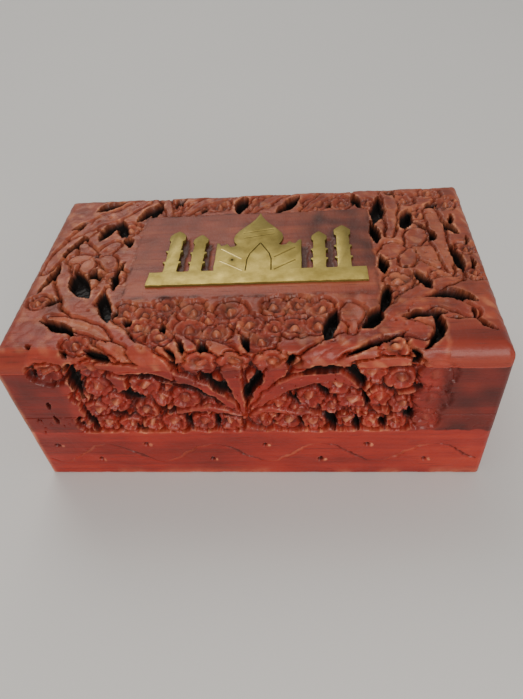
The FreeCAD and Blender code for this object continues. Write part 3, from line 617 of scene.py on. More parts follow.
    def void(self, x0: float, y0: float, x1: float, y1: float, width: float, bow: float) -> None:
        """Cut a deep pointed hollow between two tips.

        Args:
            x0: First tip across the face.
            y0: First tip up the face.
            x1: Second tip across the face.
            y1: Second tip up the face.
            width: Greatest width.
            bow: How far the middle stands to one side of the line between the tips.
        """
        edge = width + abs(bow)
        at = self.near(min(x0, x1) - edge, max(x0, x1) + edge, min(y0, y1) - edge, max(y0, y1) + edge)
        length = math.hypot(x1 - x0, y1 - y0)
        along, up = (x1 - x0) / length, (y1 - y0) / length
        du, dv = self.hand_u[at] - x0, self.hand_v[at] - y0
        t = (du * along + dv * up) / length
        inside = np.clip(t, 0, 1)
        aside = dv * along - du * up - 4 * bow * inside * (1 - inside)
        half = width / 2 * np.sin(np.pi * inside) ** 0.75
        past = np.maximum(np.abs(t - 0.5) - 0.5, 0) * length
        wall = half - np.abs(aside) - past
        deep = min(self.void_depth, 1.6 + 1.5 * width)
        cut = -deep * smooth((wall + 0.1) / 0.75) - 0.3 * (self.chatter[at] - 0.4) * (wall > 0)
        self.height[at] = np.minimum(self.height[at], np.minimum(cut, 0))
        # Painted shade with dirt over the void's walls and floor.
        self.add_grime_and_shade(0.97 * smooth((wall + 0.45) / 0.4), at)

    def nick(self, count: int, inside: np.ndarray) -> None:
        """Scatter short stop cuts of the chisel over the carved field.

        Args:
            count: How many cuts.
            inside: Share of the carved field at each place.
        """
        rng = np.random.default_rng(self.seed + 6)
        for place in rng.choice(np.flatnonzero(inside > 0.9), count):
            turn, length, depth = rng.uniform(0, math.pi), rng.uniform(1.0, 3.2), rng.uniform(0.3, 0.9)
            x, y = self.hand_u[place], self.hand_v[place]
            at = self.near(x - length, x + length, y - length, y + length)
            du, dv = self.hand_u[at] - x, self.hand_v[at] - y
            along = du * math.cos(turn) + dv * math.sin(turn)
            aside = np.abs(dv * math.cos(turn) - du * math.sin(turn))
            cut = np.clip(1 - aside / 0.34, 0, 1) * np.clip(1.4 - np.abs(along) * 2.8 / length, 0, 1)
            self.height[at] -= depth * cut

    def motif(self, motif: CarvedMotif, field: np.ndarray) -> None:
        """Carve a whole motif in its order: ground, flowers, stems and leaves over them, then the voids between.

        Args:
            motif: What to carve.
            field: Share of the ground's depth that is allowed at each place.
        """
        blooms = [self.flower(*row, index) for index, row in enumerate(motif.flowers)]
        leaves = [self.stroke(row) for row in motif.strokes]
        for shape in blooms + leaves:
            self.gap[shape.at] = np.minimum(self.gap[shape.at], shape.away)
        self.sink(field)
        for shape in blooms:
            self.stand(shape, motif.stop_cut)
        for row, shape in zip(motif.strokes, leaves):
            self.stand(shape, 0.0 if row.joined else self.stem_cut)
        for row in motif.voids:
            self.void(*row)

    def wave(self, end: float) -> None:
        """Incise the wave of the plain band and punch its dots.

        Args:
            end: How far both reach to each side of the middle.
        """
        turn = (self.hand_u - BAND.phase) * TAU / BAND.period
        slope = BAND.rise * TAU / BAND.period * np.sin(turn)
        away = np.abs(self.hand_v - (BAND.middle - BAND.rise * np.cos(turn))) / np.sqrt(1 + slope * slope)
        press = 0.25 + 0.75 * np.abs(np.sin(turn)) ** 1.5
        cut = np.clip(1 - away / (0.3 + 0.35 * press), 0, 1) * press * (np.abs(self.hand_u) < end)
        self.height -= BAND.depth * cut
        # Painted shade on one side of the groove and a painted highlight on the other, by which way the line slopes.
        self.add_grime_and_shade(0.75 * smooth(1.5 * cut) * (slope < 0))
        self.add_rub_and_highlight(0.22 * smooth(1.5 * cut) * (slope > 0))
        half = BAND.period / 2
        first, last = math.ceil((-end - BAND.phase) / half), math.floor((end - BAND.phase) / half)
        for count, half_turn in enumerate(range(first, last + 1)):
            x = BAND.phase + half_turn * half + BAND.astray[count % len(BAND.astray)]
            self.dot(x, BAND.middle + (-BAND.dot_below if half_turn % 2 else BAND.dot_above))

    def dot(self, x: float, y: float) -> None:
        """Punch a dot, dark inside with painted shade and dirt, with a painted highlight on its right like a bare
        chip.

        Args:
            x: Its place across the face.
            y: Its place up the face.
        """
        reach = BAND.dot_reach
        at = self.near(x - reach, x + reach, y - reach, y + reach)
        du, dv = self.hand_u[at] - x, self.hand_v[at] - y
        dot = np.clip(1.25 - np.hypot(du * 1.25, dv), 0, 1)
        self.height[at] -= BAND.dot_depth * dot
        # Painted shade with dirt in the pit.
        self.add_grime_and_shade(smooth(1.4 * dot), at)
        # Painted highlight on the pit's right, like a bare chip.
        chip = np.hypot(du - 1.5, (dv + 0.3) * 0.8)
        self.add_rub_and_highlight(0.9 * smooth(1.6 - chip / 0.5), at)

    def depth_share(self) -> np.ndarray:
        """Depth at each place as a share of the deepest void."""
        return np.clip(-self.height / (self.void_depth + 0.8), 0, 1)


# Finishes


class NodeSheet:
    """A node tree that is being laid out."""

    def __init__(self, tree: bpy.types.NodeTree) -> None:
        """Keep the tree that the nodes go into."""
        self.tree = tree

    def wire(self, node: bpy.types.Node, inputs: dict) -> None:
        """Set a node's inputs, or wire them to other nodes.

        Args:
            node: The node.
            inputs: Value or socket for each input, by name or number.
        """
        for name, value in inputs.items():
            socket = node.inputs[name]
            if isinstance(value, bpy.types.NodeSocket):
                self.tree.links.new(value, socket)
            else:
                socket.default_value = value

    def add(self, kind: str, inputs: dict | None = None, **settings: object) -> bpy.types.Node:
        """Place a node, set it and wire it.

        Args:
            kind: The node's type.
            inputs: Value or socket for each input, by name or number.
            settings: Properties of the node itself.

        Returns:
            The node.
        """
        node = self.tree.nodes.new(kind)
        for name, value in settings.items():
            setattr(node, name, value)
        self.wire(node, inputs or {})
        return node

    def group(self, name: str, given: dict, outputs: Iterable[str],
              draw: Callable[["NodeSheet", dict], dict]) -> bpy.types.NodeOutputs:
        """Place a shader node group that several finishes use, made the first time it is asked for.

        Args:
            name: Name of the group.
            given: Socket for each input; Place is a vector and the rest are values.
            outputs: Names of its outputs, all values.
            draw: Lays out the inside from the input sockets and gives the output sockets.

        Returns:
            The outputs, by name.
        """
        tree = bpy.data.node_groups.get(name)
        if not tree:
            tree = bpy.data.node_groups.new(name, "ShaderNodeTree")
            for label in given:
                kind = "NodeSocketVector" if label == "Place" else "NodeSocketFloat"
                tree.interface.new_socket(label, in_out="INPUT", socket_type=kind)
            for label in outputs:
                tree.interface.new_socket(label, in_out="OUTPUT", socket_type="NodeSocketFloat")
            inside = NodeSheet(tree)
            start = inside.add("NodeGroupInput")
            made = draw(inside, {socket.name: socket for socket in start.outputs if socket.name})
            inside.add("NodeGroupOutput", made)
        return self.add("ShaderNodeGroup", given, node_tree=tree).outputs

    def mix(self, share: object, first: object, second: object) -> bpy.types.NodeSocket:
        """Colour between two colours."""
        sides = [(*side, 1) if isinstance(side, tuple) else side for side in (first, second)]
        return self.add("ShaderNodeMix", {0: share, 6: sides[0], 7: sides[1]}, data_type="RGBA").outputs[2]

    def maths(self, operation: str, first: object, second: object) -> bpy.types.NodeSocket:
        """Result of one sum."""
        return self.add("ShaderNodeMath", {0: first, 1: second}, operation=operation).outputs[0]

    def times(self, value: object, factor: object) -> bpy.types.NodeSocket:
        """Product of two values."""
        return self.maths("MULTIPLY", value, factor)

    def plus(self, value: object, other: object) -> bpy.types.NodeSocket:
        """Sum of two values."""
        return self.maths("ADD", value, other)

    def spread(self, value: object, low: float, high: float, to_low: float = 0.0,
               to_high: float = 1.0) -> bpy.types.NodeSocket:
        """Value moved from one span to another, held at its ends."""
        spans = {"Value": value, "From Min": low, "From Max": high, "To Min": to_low, "To Max": to_high}
        return self.add("ShaderNodeMapRange", spans).outputs["Result"]

    def noise(self, vector: object, scale: float, detail: float = 4.0, rough: float = 0.55) -> bpy.types.NodeSocket:
        """Cloudy value over the surface."""
        inputs = {"Vector": vector, "Scale": scale, "Detail": detail, "Roughness": rough}
        return self.add("ShaderNodeTexNoise", inputs).outputs["Fac"]

    def streaks(self, vector: object, scales: Place, detail: float, rough: float = 0.55) -> bpy.types.NodeSocket:
        """Cloudy value with its own scale along each axis."""
        drawn_out = self.add("ShaderNodeVectorMath", {0: vector, 1: scales}, operation="MULTIPLY")
        return self.noise(drawn_out.outputs[0], 1.0, detail, rough)

    def painted(self, name: str) -> bpy.types.NodeSocket:
        """Value that the mesh keeps per point."""
        return self.add("ShaderNodeAttribute", attribute_name=name).outputs["Fac"]

    def bump(self, height: object, strength: float, distance: float) -> bpy.types.NodeSocket:
        """Normal of a surface with fine relief."""
        return self.add("ShaderNodeBump", {"Strength": strength, "Distance": distance, "Height": height}).outputs[0]

    def ramp(self, value: object, stops: Sequence[tuple[float, Rgb]]) -> bpy.types.NodeSocket:
        """Colour along a scale of colours.

        Args:
            value: Place on the scale.
            stops: Places and colours, in order.

        Returns:
            The colour's socket.
        """
        node = self.add("ShaderNodeValToRGB", {"Fac": value})
        while len(node.color_ramp.elements) < len(stops):
            node.color_ramp.elements.new(0.5)
        for element, (place, colour) in zip(node.color_ramp.elements, stops):
            element.position = place
            element.color = (*colour, 1)
        return node.outputs["Color"]


def draw_grain(sheet: NodeSheet, given: dict) -> dict:
    """Grain of a stained hardwood: broad streaks, fine lines and open pores along the first axis.

    Args:
        sheet: Inside of the node group.
        given: Its input sockets, by name.

    Returns:
        Its output sockets, by name.
    """
    broad = sheet.streaks(given["Place"], (9.0, 120.0, 120.0), 5.0, 0.6)
    fine = sheet.streaks(given["Place"], (26.0, 520.0, 520.0), 3.0, 0.6)
    spots = sheet.streaks(given["Place"], (110.0, 1900.0, 1900.0), 1.0, 0.5)
    streak = sheet.plus(sheet.times(broad, 0.7), sheet.times(fine, 0.3))
    return {"Streak": sheet.spread(streak, 0.24, 0.76), "Pore": sheet.spread(spots, 0.6, 0.74)}


def draw_wear_and_light(sheet: NodeSheet, given: dict) -> dict:
    """Rubbed edges with painted highlights, and dirt with painted shade in hollows, both broken up by blotches.

    Args:
        sheet: Inside of the node group.
        given: Its input sockets, by name.

    Returns:
        Its output sockets, by name.
    """
    blotch = sheet.noise(given["Place"], 260.0, 4.0, 0.65)
    patch = sheet.noise(given["Place"], 42.0, 3.0, 0.6)
    rubbed_and_lit = sheet.times(given["Edge"], sheet.spread(blotch, 0.3, 0.62, 0.25, 1.0))
    rubbed_and_lit = sheet.times(rubbed_and_lit, sheet.spread(patch, 0.35, 0.6, 0.45, 1.0))
    # Hollows darken with depth: dirt, with painted shade.
    soil_and_shade = sheet.plus(given["Depth"], sheet.spread(blotch, 0.35, 0.7, -0.1, 0.1))
    return {"Rubbed": rubbed_and_lit, "Dirt": sheet.spread(soil_and_shade, 0.18, 0.52), "Patch": patch}


def draw_scratches(sheet: NodeSheet, given: dict) -> dict:
    """Fine scratches and dull clouds of old metal.

    Args:
        sheet: Inside of the node group.
        given: Its input sockets, by name.

    Returns:
        Its output sockets, by name.
    """
    along = sheet.streaks(given["Place"], (300.0, 5200.0, 1500.0), 2.0)
    across = sheet.streaks(given["Place"], (4200.0, 420.0, 1500.0), 2.0)
    line = sheet.maths("MAXIMUM", sheet.spread(along, 0.52, 0.75), sheet.spread(across, 0.6, 0.78, 0.0, 0.8))
    return {"Scratch": line, "Cloud": sheet.noise(given["Place"], 130.0, 6.0, 0.65)}


@dataclass(frozen=True)
class Finish:
    """A finish whose material is made the first time a piece asks for it."""

    name: str

    def material(self) -> bpy.types.Material:
        """Material of the finish.

        Returns:
            The material, the same one for every piece.
        """
        found = bpy.data.materials.get(self.name)
        if found:
            return found
        made = bpy.data.materials.new(self.name)
        made.use_nodes = True
        sheet = NodeSheet(made.node_tree)
        place = sheet.add("ShaderNodeTexCoord").outputs["Object"]
        sheet.wire(made.node_tree.nodes["Principled BSDF"], self.surface(sheet, place))
        return made

    def surface(self, sheet: NodeSheet, place: bpy.types.NodeSocket) -> dict:
        """Lay out what the surface looks like.

        Args:
            sheet: Node tree of the material.
            place: Places on the piece.

        Returns:
            Value or socket for each input of the shader.
        """
        raise NotImplementedError


@dataclass(frozen=True)
class WoodFinish(Finish):
    """Red-brown stain under a satin lacquer, which turns to another stain towards the nose if one is given:
    the top's copy, with painted sheen, gives way to the front's colour as the nose turns down.
    """

    grain: GrainAxis
    dark: Rgb = (0.15, 0.011, 0.007)
    middle: Rgb = (0.32, 0.022, 0.012)
    light: Rgb = (0.44, 0.042, 0.018)
    rubbed_and_lit: Rgb = (0.66, 0.2, 0.1)
    soil_and_shade: Rgb = (0.006, 0.003, 0.0025)
    satin: float = 0.46
    specular: float = 0.3
    lacquer: float = 0.17
    lacquer_roughness: float = 0.23
    tooled: float = 0.35
    nose: "WoodFinish | None" = None
    nose_front: float = -48.0
    nose_back: float = -14.0

    def stain(self, sheet: NodeSheet, tone: object) -> bpy.types.NodeSocket:
        """Colour of the stain at a tone of the grain."""
        return sheet.ramp(tone, ((0.05, self.dark), (0.5, self.middle), (0.95, self.light)))

    def surface(self, sheet: NodeSheet, place: bpy.types.NodeSocket) -> dict:
        """Stained wood with grain, rubbed edges with painted highlights, and hollows darkened by dirt and painted
        shade.

        Args:
            sheet: Node tree of the material.
            place: Places on the piece.

        Returns:
            Value or socket for each input of the shader.
        """
        turn = (0, 0, 0) if self.grain is GrainAxis.LENGTHWISE else (0, 0, math.pi / 2)
        turned = sheet.add("ShaderNodeMapping", {"Vector": place, "Rotation": turn}).outputs[0]
        grain = sheet.group("wood_grain", {"Place": turned}, ("Streak", "Pore"), draw_grain)
        given = {"Place": place, "Edge": sheet.painted("edge"), "Depth": sheet.painted("depth")}
        wear_and_light = sheet.group("edge_wear", given, ("Rubbed", "Dirt", "Patch"), draw_wear_and_light)
        streak, pore, dirt_and_shade = grain["Streak"], grain["Pore"], wear_and_light["Dirt"]
        tone = sheet.plus(streak, sheet.spread(wear_and_light["Patch"], 0.3, 0.7, -0.16, 0.16))
        colour = self.stain(sheet, tone)
        # Over the nose the top's colour, with its painted sheen, gives way to the front's as the surface turns down.
        if self.nose:
            across = sheet.add("ShaderNodeSeparateXYZ", {"Vector": place}).outputs["Y"]
            faded = sheet.spread(across, self.nose_front * MM, self.nose_back * MM, 0.25, 1.0)
            colour = sheet.mix(faded, self.nose.stain(sheet, tone), colour)
        colour = sheet.mix(sheet.times(pore, 0.55), colour, self.dark)
        # Rubbed colour: wear, with painted highlights and glints on edges and hearts.
        colour = sheet.mix(wear_and_light["Rubbed"], colour, self.rubbed_and_lit)
        # Darkening from the painted layer: stain and dirt, with painted shade in voids and stop cuts.
        colour = sheet.mix(sheet.times(sheet.painted("grime"), 0.8), colour, self.soil_and_shade)
        # Darker with depth: dirt and painted shade in hollows.
        colour = sheet.mix(dirt_and_shade, colour, self.soil_and_shade)
        gloss = sheet.spread(streak, 0, 1, self.satin - 0.06, self.satin + 0.08)
        marks = sheet.times(sheet.streaks(place, (900.0, 420.0, 900.0), 3.0, 0.6), 2.4 * self.tooled)
        relief = sheet.maths("SUBTRACT", sheet.times(streak, 0.5), pore)
        return {
            "Base Color": colour,
            "Roughness": sheet.plus(gloss, sheet.times(dirt_and_shade, 0.35)),
            "Normal": sheet.bump(sheet.plus(relief, marks), 0.35, 0.22 * MM),
            "Specular IOR Level": self.specular,
            "Coat Weight": self.lacquer,
            "Coat Roughness": self.lacquer_roughness,
        }


@dataclass(frozen=True)
class MetalFinish(Finish):
    """Old sheet metal with scratches and dull clouds, and a dark stain round one place if it is given."""

    clean: Rgb
    dull: Rgb
    roughness: float
    groove: Rgb = (0.05, 0.04, 0.015)
    cut_highlight: Rgb = (0.95, 0.8, 0.36)
    stain_at: Place | None = None
    stain_reach: float = 1.9

    def surface(self, sheet: NodeSheet, place: bpy.types.NodeSocket) -> dict:
        """Scratched metal that is dark in its grooves, or light with a painted highlight where they are clean cut.

        Args:
            sheet: Node tree of the material.
            place: Places on the piece.

        Returns:
            Value or socket for each input of the shader.
        """
        marks = sheet.group("old_metal", {"Place": place}, ("Scratch", "Cloud"), draw_scratches)
        cloud = sheet.spread(marks["Cloud"], 0.35, 0.68)
        colour = sheet.mix(cloud, self.clean, self.dull)
        colour = sheet.mix(sheet.times(marks["Scratch"], 0.35), colour, self.clean)
        colour = sheet.mix(sheet.painted("grime"), colour, self.groove)
        # Painted highlight in the clean-cut grooves.
        colour = sheet.mix(sheet.painted("polish"), colour, self.cut_highlight)
        if self.stain_at:
            middle = [side * MM for side in self.stain_at]
            away = sheet.add("ShaderNodeVectorMath", {0: place, 1: middle}, operation="DISTANCE").outputs["Value"]
            colour = sheet.mix(sheet.spread(away, 0, self.stain_reach * MM, 0.85, 0), colour, self.groove)
        return {
            "Base Color": colour,
            "Roughness": sheet.spread(cloud, 0, 1, self.roughness - 0.06, self.roughness + 0.12),
            "Normal": sheet.bump(marks["Scratch"], 0.25, 0.06 * MM),
            "Metallic": 1.0,
        }


@dataclass(frozen=True)
class VelvetFinish(Finish):
    """Short pile velvet, brushed unevenly."""

    name: str = "wine_velvet"
    shade: Rgb = (0.1, 0.006, 0.012)
    pile: Rgb = (0.27, 0.022, 0.04)
    sheen: Rgb = (0.9, 0.3, 0.35)

    def surface(self, sheet: NodeSheet, place: bpy.types.NodeSocket) -> dict:
        """Velvet with brushed patches and a soft sheen.

        Args:
            sheet: Node tree of the material.
            place: Places on the piece.

        Returns:
            Value or socket for each input of the shader.
        """
        brushed = sheet.spread(sheet.noise(place, 55.0, 4.0, 0.6), 0.3, 0.7, 0.0, 0.75)
        fibre = sheet.noise(place, 2600.0, 2.0, 0.6)
        tone = sheet.plus(brushed, sheet.spread(fibre, 0.3, 0.7, -0.2, 0.35))
        return {
            "Base Color": sheet.mix(tone, self.shade, self.pile),
            "Roughness": 0.92,
            "Normal": sheet.bump(fibre, 0.5, 0.2 * MM),
            "Sheen Weight": 0.6,
            "Sheen Roughness": 0.35,
            "Sheen Tint": (*self.sheen, 1),
        }


@dataclass(frozen=True)
class FloorFinish(Finish):
    """Pale matt paint, a little cloudy."""

    name: str = "pale_floor"
    low: Rgb = (0.66, 0.65, 0.63)
    high: Rgb = (0.7, 0.69, 0.67)

    def surface(self, sheet: NodeSheet, place: bpy.types.NodeSocket) -> dict:
        """Paint with broad clouds."""
        return {"Base Color": sheet.mix(sheet.noise(place, 3.0), self.low, self.high), "Roughness": 0.6}


LENGTH_WOOD = WoodFinish("stained_wood_along", GrainAxis.LENGTHWISE)
# A lighter, browner copy of the stain for the top: painted sheen where the light from behind falls on it, with the
# top's own browner tone.
LID_WOOD_AND_SHEEN = WoodFinish("stained_wood_lid", GrainAxis.LENGTHWISE, (0.138, 0.0255, 0.013), (0.28, 0.055, 0.0265),
                      (0.39, 0.098, 0.041), (0.6, 0.2, 0.09), tooled=0.9, nose=LENGTH_WOOD)
CROSS_WOOD = WoodFinish("stained_wood_across", GrainAxis.CROSSWISE)
INLAY_BRASS = MetalFinish("inlay_brass_aged", (0.61, 0.475, 0.135), (0.39, 0.295, 0.078), 0.5,
                          stain_at=(-6.4, -1.0, 60.8))
HINGE_BRASS = MetalFinish("hinge_brass_dull", (0.72, 0.52, 0.23), (0.42, 0.29, 0.12), 0.38)
PIN_STEEL = MetalFinish("pin_steel_drawn", (0.55, 0.54, 0.52), (0.32, 0.31, 0.3), 0.35)
VELVET = VelvetFinish()


# Bench work


def clear_selection() -> None:
    """Leave edit mode and deselect everything."""
    if bpy.context.mode != "OBJECT":
        bpy.ops.object.mode_set(mode="OBJECT")
    bpy.ops.object.select_all(action="DESELECT")


def work_on(piece: bpy.types.Object) -> None:
    """Make one piece the only one that tools act on.

    Args:
        piece: The piece to work on.
    """
    clear_selection()
    piece.select_set(True)
    bpy.context.view_layer.objects.active = piece


def fresh_piece(name: str) -> bpy.types.Object:
    """Name the piece that was just added or joined.

    Args:
        name: Its name, and its mesh's.

    Returns:
        The piece.
    """
    piece = bpy.context.active_object
    piece.name = name
    piece.data.name = name
    return piece


def put_in_scene(name: str, data: bpy.types.ID) -> bpy.types.Object:
    """Make an object of a mesh, curve, lamp or camera.

    Args:
        name: Its name.
        data: What it shows.

    Returns:
        The object.
    """
    made = bpy.data.objects.new(name, data)
    bpy.context.scene.collection.objects.link(made)
    return made


def settle(piece: bpy.types.Object) -> None:
    """Move a piece's place, turn and size into its mesh."""
    work_on(piece)
    bpy.ops.object.transform_apply(location=True, rotation=True, scale=True)


def apply_modifier(piece: bpy.types.Object, kind: str, **settings: object) -> None:
    """Add a modifier, set it and apply it.

    Args:
        piece: The piece to work on.
        kind: The modifier's type.
        settings: Its properties.
    """
    work_on(piece)
    modifier = piece.modifiers.new(kind.lower(), kind)
    for name, value in settings.items():
        setattr(modifier, name, value)
    bpy.ops.object.modifier_apply(modifier=modifier.name)


def cut_out(piece: bpy.types.Object, cutter: bpy.types.Object) -> None:
    """Cut one shape out of a piece and put the cutter away."""
    apply_modifier(piece, "BOOLEAN", object=cutter, operation="DIFFERENCE", solver="EXACT")
    bpy.data.objects.remove(cutter)


def corners(piece: bpy.types.Object) -> np.ndarray:
    """Places of a mesh's points.

    Args:
        piece: The piece to look at.

    Returns:
        Rows of x, y and z in metres.
    """
    flat = np.zeros(len(piece.data.vertices) * 3, np.float32)
    piece.data.vertices.foreach_get("co", flat)
    return flat.reshape(-1, 3).astype(float)


def put_corners(piece: bpy.types.Object, places: np.ndarray) -> None:
    """Move a mesh's points to new places."""
    piece.data.vertices.foreach_set("co", places.astype(np.float32).ravel())
    piece.data.update()


def paint(piece: bpy.types.Object, name: str, values: np.ndarray) -> None:
    """Keep a value per point of a mesh for its finish to read."""
    layer = piece.data.attributes.new(name, "FLOAT", "POINT")
    layer.data.foreach_set("value", values.astype(np.float32))


def smooth_shade(piece: bpy.types.Object, degrees: float) -> None:
    """Shade smoothly, with sharp edges above an angle."""
    work_on(piece)
    bpy.ops.object.shade_smooth_by_angle(angle=math.radians(degrees))


def chosen_faces(piece: bpy.types.Object, chooser: Chooser) -> np.ndarray:
    """Which faces a rule chooses by where they are and which way they look.

    Args:
        piece: The piece to look at.
        chooser: Gives the choice from the faces' middles and normals.

    Returns:
        Whether each face is chosen.
    """
    rows = np.zeros((2, len(piece.data.polygons) * 3), np.float32)
    for row, wanted in zip(rows, ("center", "normal")):
        piece.data.polygons.foreach_get(wanted, row)
    return chooser(rows[0].reshape(-1, 3), rows[1].reshape(-1, 3))


@contextmanager
def editing(piece: bpy.types.Object, chooser: Chooser | None = None) -> Iterator[None]:
    """Be in edit mode on one piece for a while.

    Args:
        piece: The piece to work on.
        chooser: Chooses the faces that are selected first; without it everything is.

    Yields:
        Nothing, while in edit mode.
    """
    work_on(piece)
    flags = chosen_faces(piece, chooser) if chooser else None
    bpy.ops.object.mode_set(mode="EDIT")
    if chooser:
        bpy.ops.mesh.select_mode(type="FACE")
        bpy.ops.mesh.select_all(action="DESELECT")
        bpy.ops.object.mode_set(mode="OBJECT")
        piece.data.polygons.foreach_set("select", flags)
        bpy.ops.object.mode_set(mode="EDIT")
    else:
        bpy.ops.mesh.select_all(action="SELECT")
    yield
    bpy.ops.object.mode_set(mode="OBJECT")


def face_outwards() -> None:
    """Turn all faces of the piece that is being edited outwards."""
    bpy.ops.mesh.select_all(action="SELECT")
    bpy.ops.mesh.normals_make_consistent(inside=False)


def along(axis: int, value: float, others: float = 0.0) -> list[float]:
    """Three numbers that are alike but for one axis."""
    return [value if side == axis else others for side in range(3)]


def extrude(step: Sequence[float]) -> None:
    """Draw the selected faces out by a step in metres."""
    bpy.ops.mesh.extrude_region_move(TRANSFORM_OT_translate={"value": step})


def close_back(piece: bpy.types.Object, axis: int, plane: float) -> None:
    """Draw the open edge of a carved face back to a flat plane and close it there, clean behind its edge.

    Args:
        piece: The open face.
        axis: Axis that the plane is square to.
        plane: Its place on that axis, in metres.
    """
    carved = len(piece.data.vertices)
    with editing(piece):
        bpy.ops.mesh.select_mode(type="EDGE")
        bpy.ops.mesh.select_all(action="DESELECT")
        bpy.ops.mesh.select_non_manifold(extend=False, use_wire=False, use_boundary=True, use_multi_face=False,
                                         use_non_contiguous=False, use_verts=False)
        for share in (0.9, 0.0):
            bpy.ops.mesh.extrude_edges_move()
            bpy.ops.transform.resize(value=along(axis, share, 1.0), center_override=along(axis, plane))
        bpy.ops.mesh.edge_face_add()
        face_outwards()
    for name in ("depth", "edge", "grime"):
        layer = piece.data.attributes[name]
        values = np.zeros(len(layer.data), np.float32)
        layer.data.foreach_get("value", values)
        values[carved:] = 0
        layer.data.foreach_set("value", values)


def dress(piece: bpy.types.Object, finish: Finish, slot: str, body: Body, *nodes: str) -> None:
    """Give a piece its finish and its place in the frame.

    Args:
        piece: The finished mesh.
        finish: Its finish.
        slot: Its material slot; not used.
        body: The half of the box that it rides on.
        nodes: Nodes of the frame that it stands for.
    """
    piece.data.materials.clear()
    piece.data.materials.append(finish.material())
    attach(piece, body.value)
    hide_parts(*nodes)
    LOG.info("%s: %d faces on the %s", piece.name, len(piece.data.polygons), body.value)


@dataclass(frozen=True)
class Roll:
    """Lines of a grid across a planed face whose two edges roll away from it, the low one on down a skirt."""

    low: float
    high: float
    low_round: float
    high_round: float
    step: float
    low_skirt: float = 0.0

    def lines(self) -> np.ndarray:
        """Lay the lines out.

        Returns:
            Rows of place, drop below the face, and place on the unrolled face.
        """
        rows = []
        for edge, radius, side in ((self.low, self.low_round, -1), (self.high, self.high_round, 1)):
            turns = np.linspace(0, math.pi / 2, max(3, math.ceil(radius * 1.57 / self.step)) + 1)[1:]
            arc = [(edge + side * radius * (math.sin(t) - 1), radius * (1 - math.cos(t)),
                    edge + side * radius * (t - 1)) for t in turns] if radius else []
            rows.append(arc[::-1] if side < 0 else arc)
        fall = np.linspace(self.low_skirt, 0, math.ceil(self.low_skirt / self.step) + 1)[:-1]
        past = self.low_round * (math.pi / 2 - 1)
        rows[0] = [(self.low, self.low_round + s, self.low - past - s) for s in fall] + rows[0]
        start, end = self.low + self.low_round, self.high - self.high_round
        flat = np.linspace(start, end, math.ceil((end - start) / self.step) + 1)
        return np.array(rows[0] + [(t, 0.0, t) for t in flat] + rows[1])


@dataclass
class CarvedFace:
    """A dense grid over a planed face with rolled edges, ready to be carved."""

    name: str
    across: Roll
    up: Roll

    def lay(self) -> None:
        """Add the grid and work out where each of its points lies on the face."""
        across, up = self.across.lines(), self.up.lines()
        clear_selection()
        bpy.ops.mesh.primitive_grid_add(x_subdivisions=len(across) - 1, y_subdivisions=len(up) - 1, size=2)
        self.piece = fresh_piece(self.name)
        spots = corners(self.piece)
        column = np.rint((spots[:, 0] + 1) / 2 * (len(across) - 1)).astype(int)
        row = np.rint((spots[:, 1] + 1) / 2 * (len(up) - 1)).astype(int)
        self.a, drop_a, self.u = across[column].T
        self.b, drop_b, self.v = up[row].T
        self.drop = (drop_a ** 4 + drop_b ** 4) ** 0.25
        self.cell = row * len(across) + column
        self.shape = (len(up), len(across))

    def edge_wear(self, relief: Relief) -> np.ndarray:
        """Share of rubbing and painted highlight at each point, greatest on standing edges and on the hearts of
        flowers.

        Args:
            relief: The carved heights.

        Returns:
            Shares, above 1 where the wood is rubbed bare or carries a painted glint.
        """
        sheet = np.zeros(self.cell.size)
        sheet[self.cell] = relief.height - self.drop
        sheet = sheet.reshape(self.shape)
        proud = (sheet - softened(sheet, 3)).reshape(-1)[self.cell] / 0.9 - 0.22
        reached = smooth((relief.height + 1.1) / 0.7)
        # Painted glints scattered along the standing edges.
        painted_glint = 1 + 2.4 * smooth((waver(relief.u, relief.v, 3.4, relief.seed + 20) - 0.7) / 0.4)
        return np.clip(np.maximum(proud * painted_glint * reached * (1 - relief.grime), 2.0 * relief.rub_and_highlight), 0, 2)

    def carve(self, relief: Relief, direction: str, strength: float) -> None:
        """Press the relief in; keep its depth, wear with painted highlights and dirt with painted shade for the
        finish.

        Args:
            relief: The carved heights.
            direction: Axis of the cut, or the face's own normal.
            strength: Sense of the cut along that axis.
        """
        deepest = max(-relief.height.min(), 0.1)
        shares = np.clip(-relief.height / deepest, 0, 1)
        group = self.piece.vertex_groups.new(name="carving")
        for index, share in enumerate(shares.tolist()):
            group.add((index,), share, "REPLACE")
        apply_modifier(self.piece, "DISPLACE", vertex_group="carving", direction=direction, mid_level=0.0,
                       strength=strength * deepest * MM)
        self.piece.vertex_groups.clear()
        paint(self.piece, "depth", relief.depth_share())
        paint(self.piece, "edge", self.edge_wear(relief))
        paint(self.piece, "grime", relief.grime)


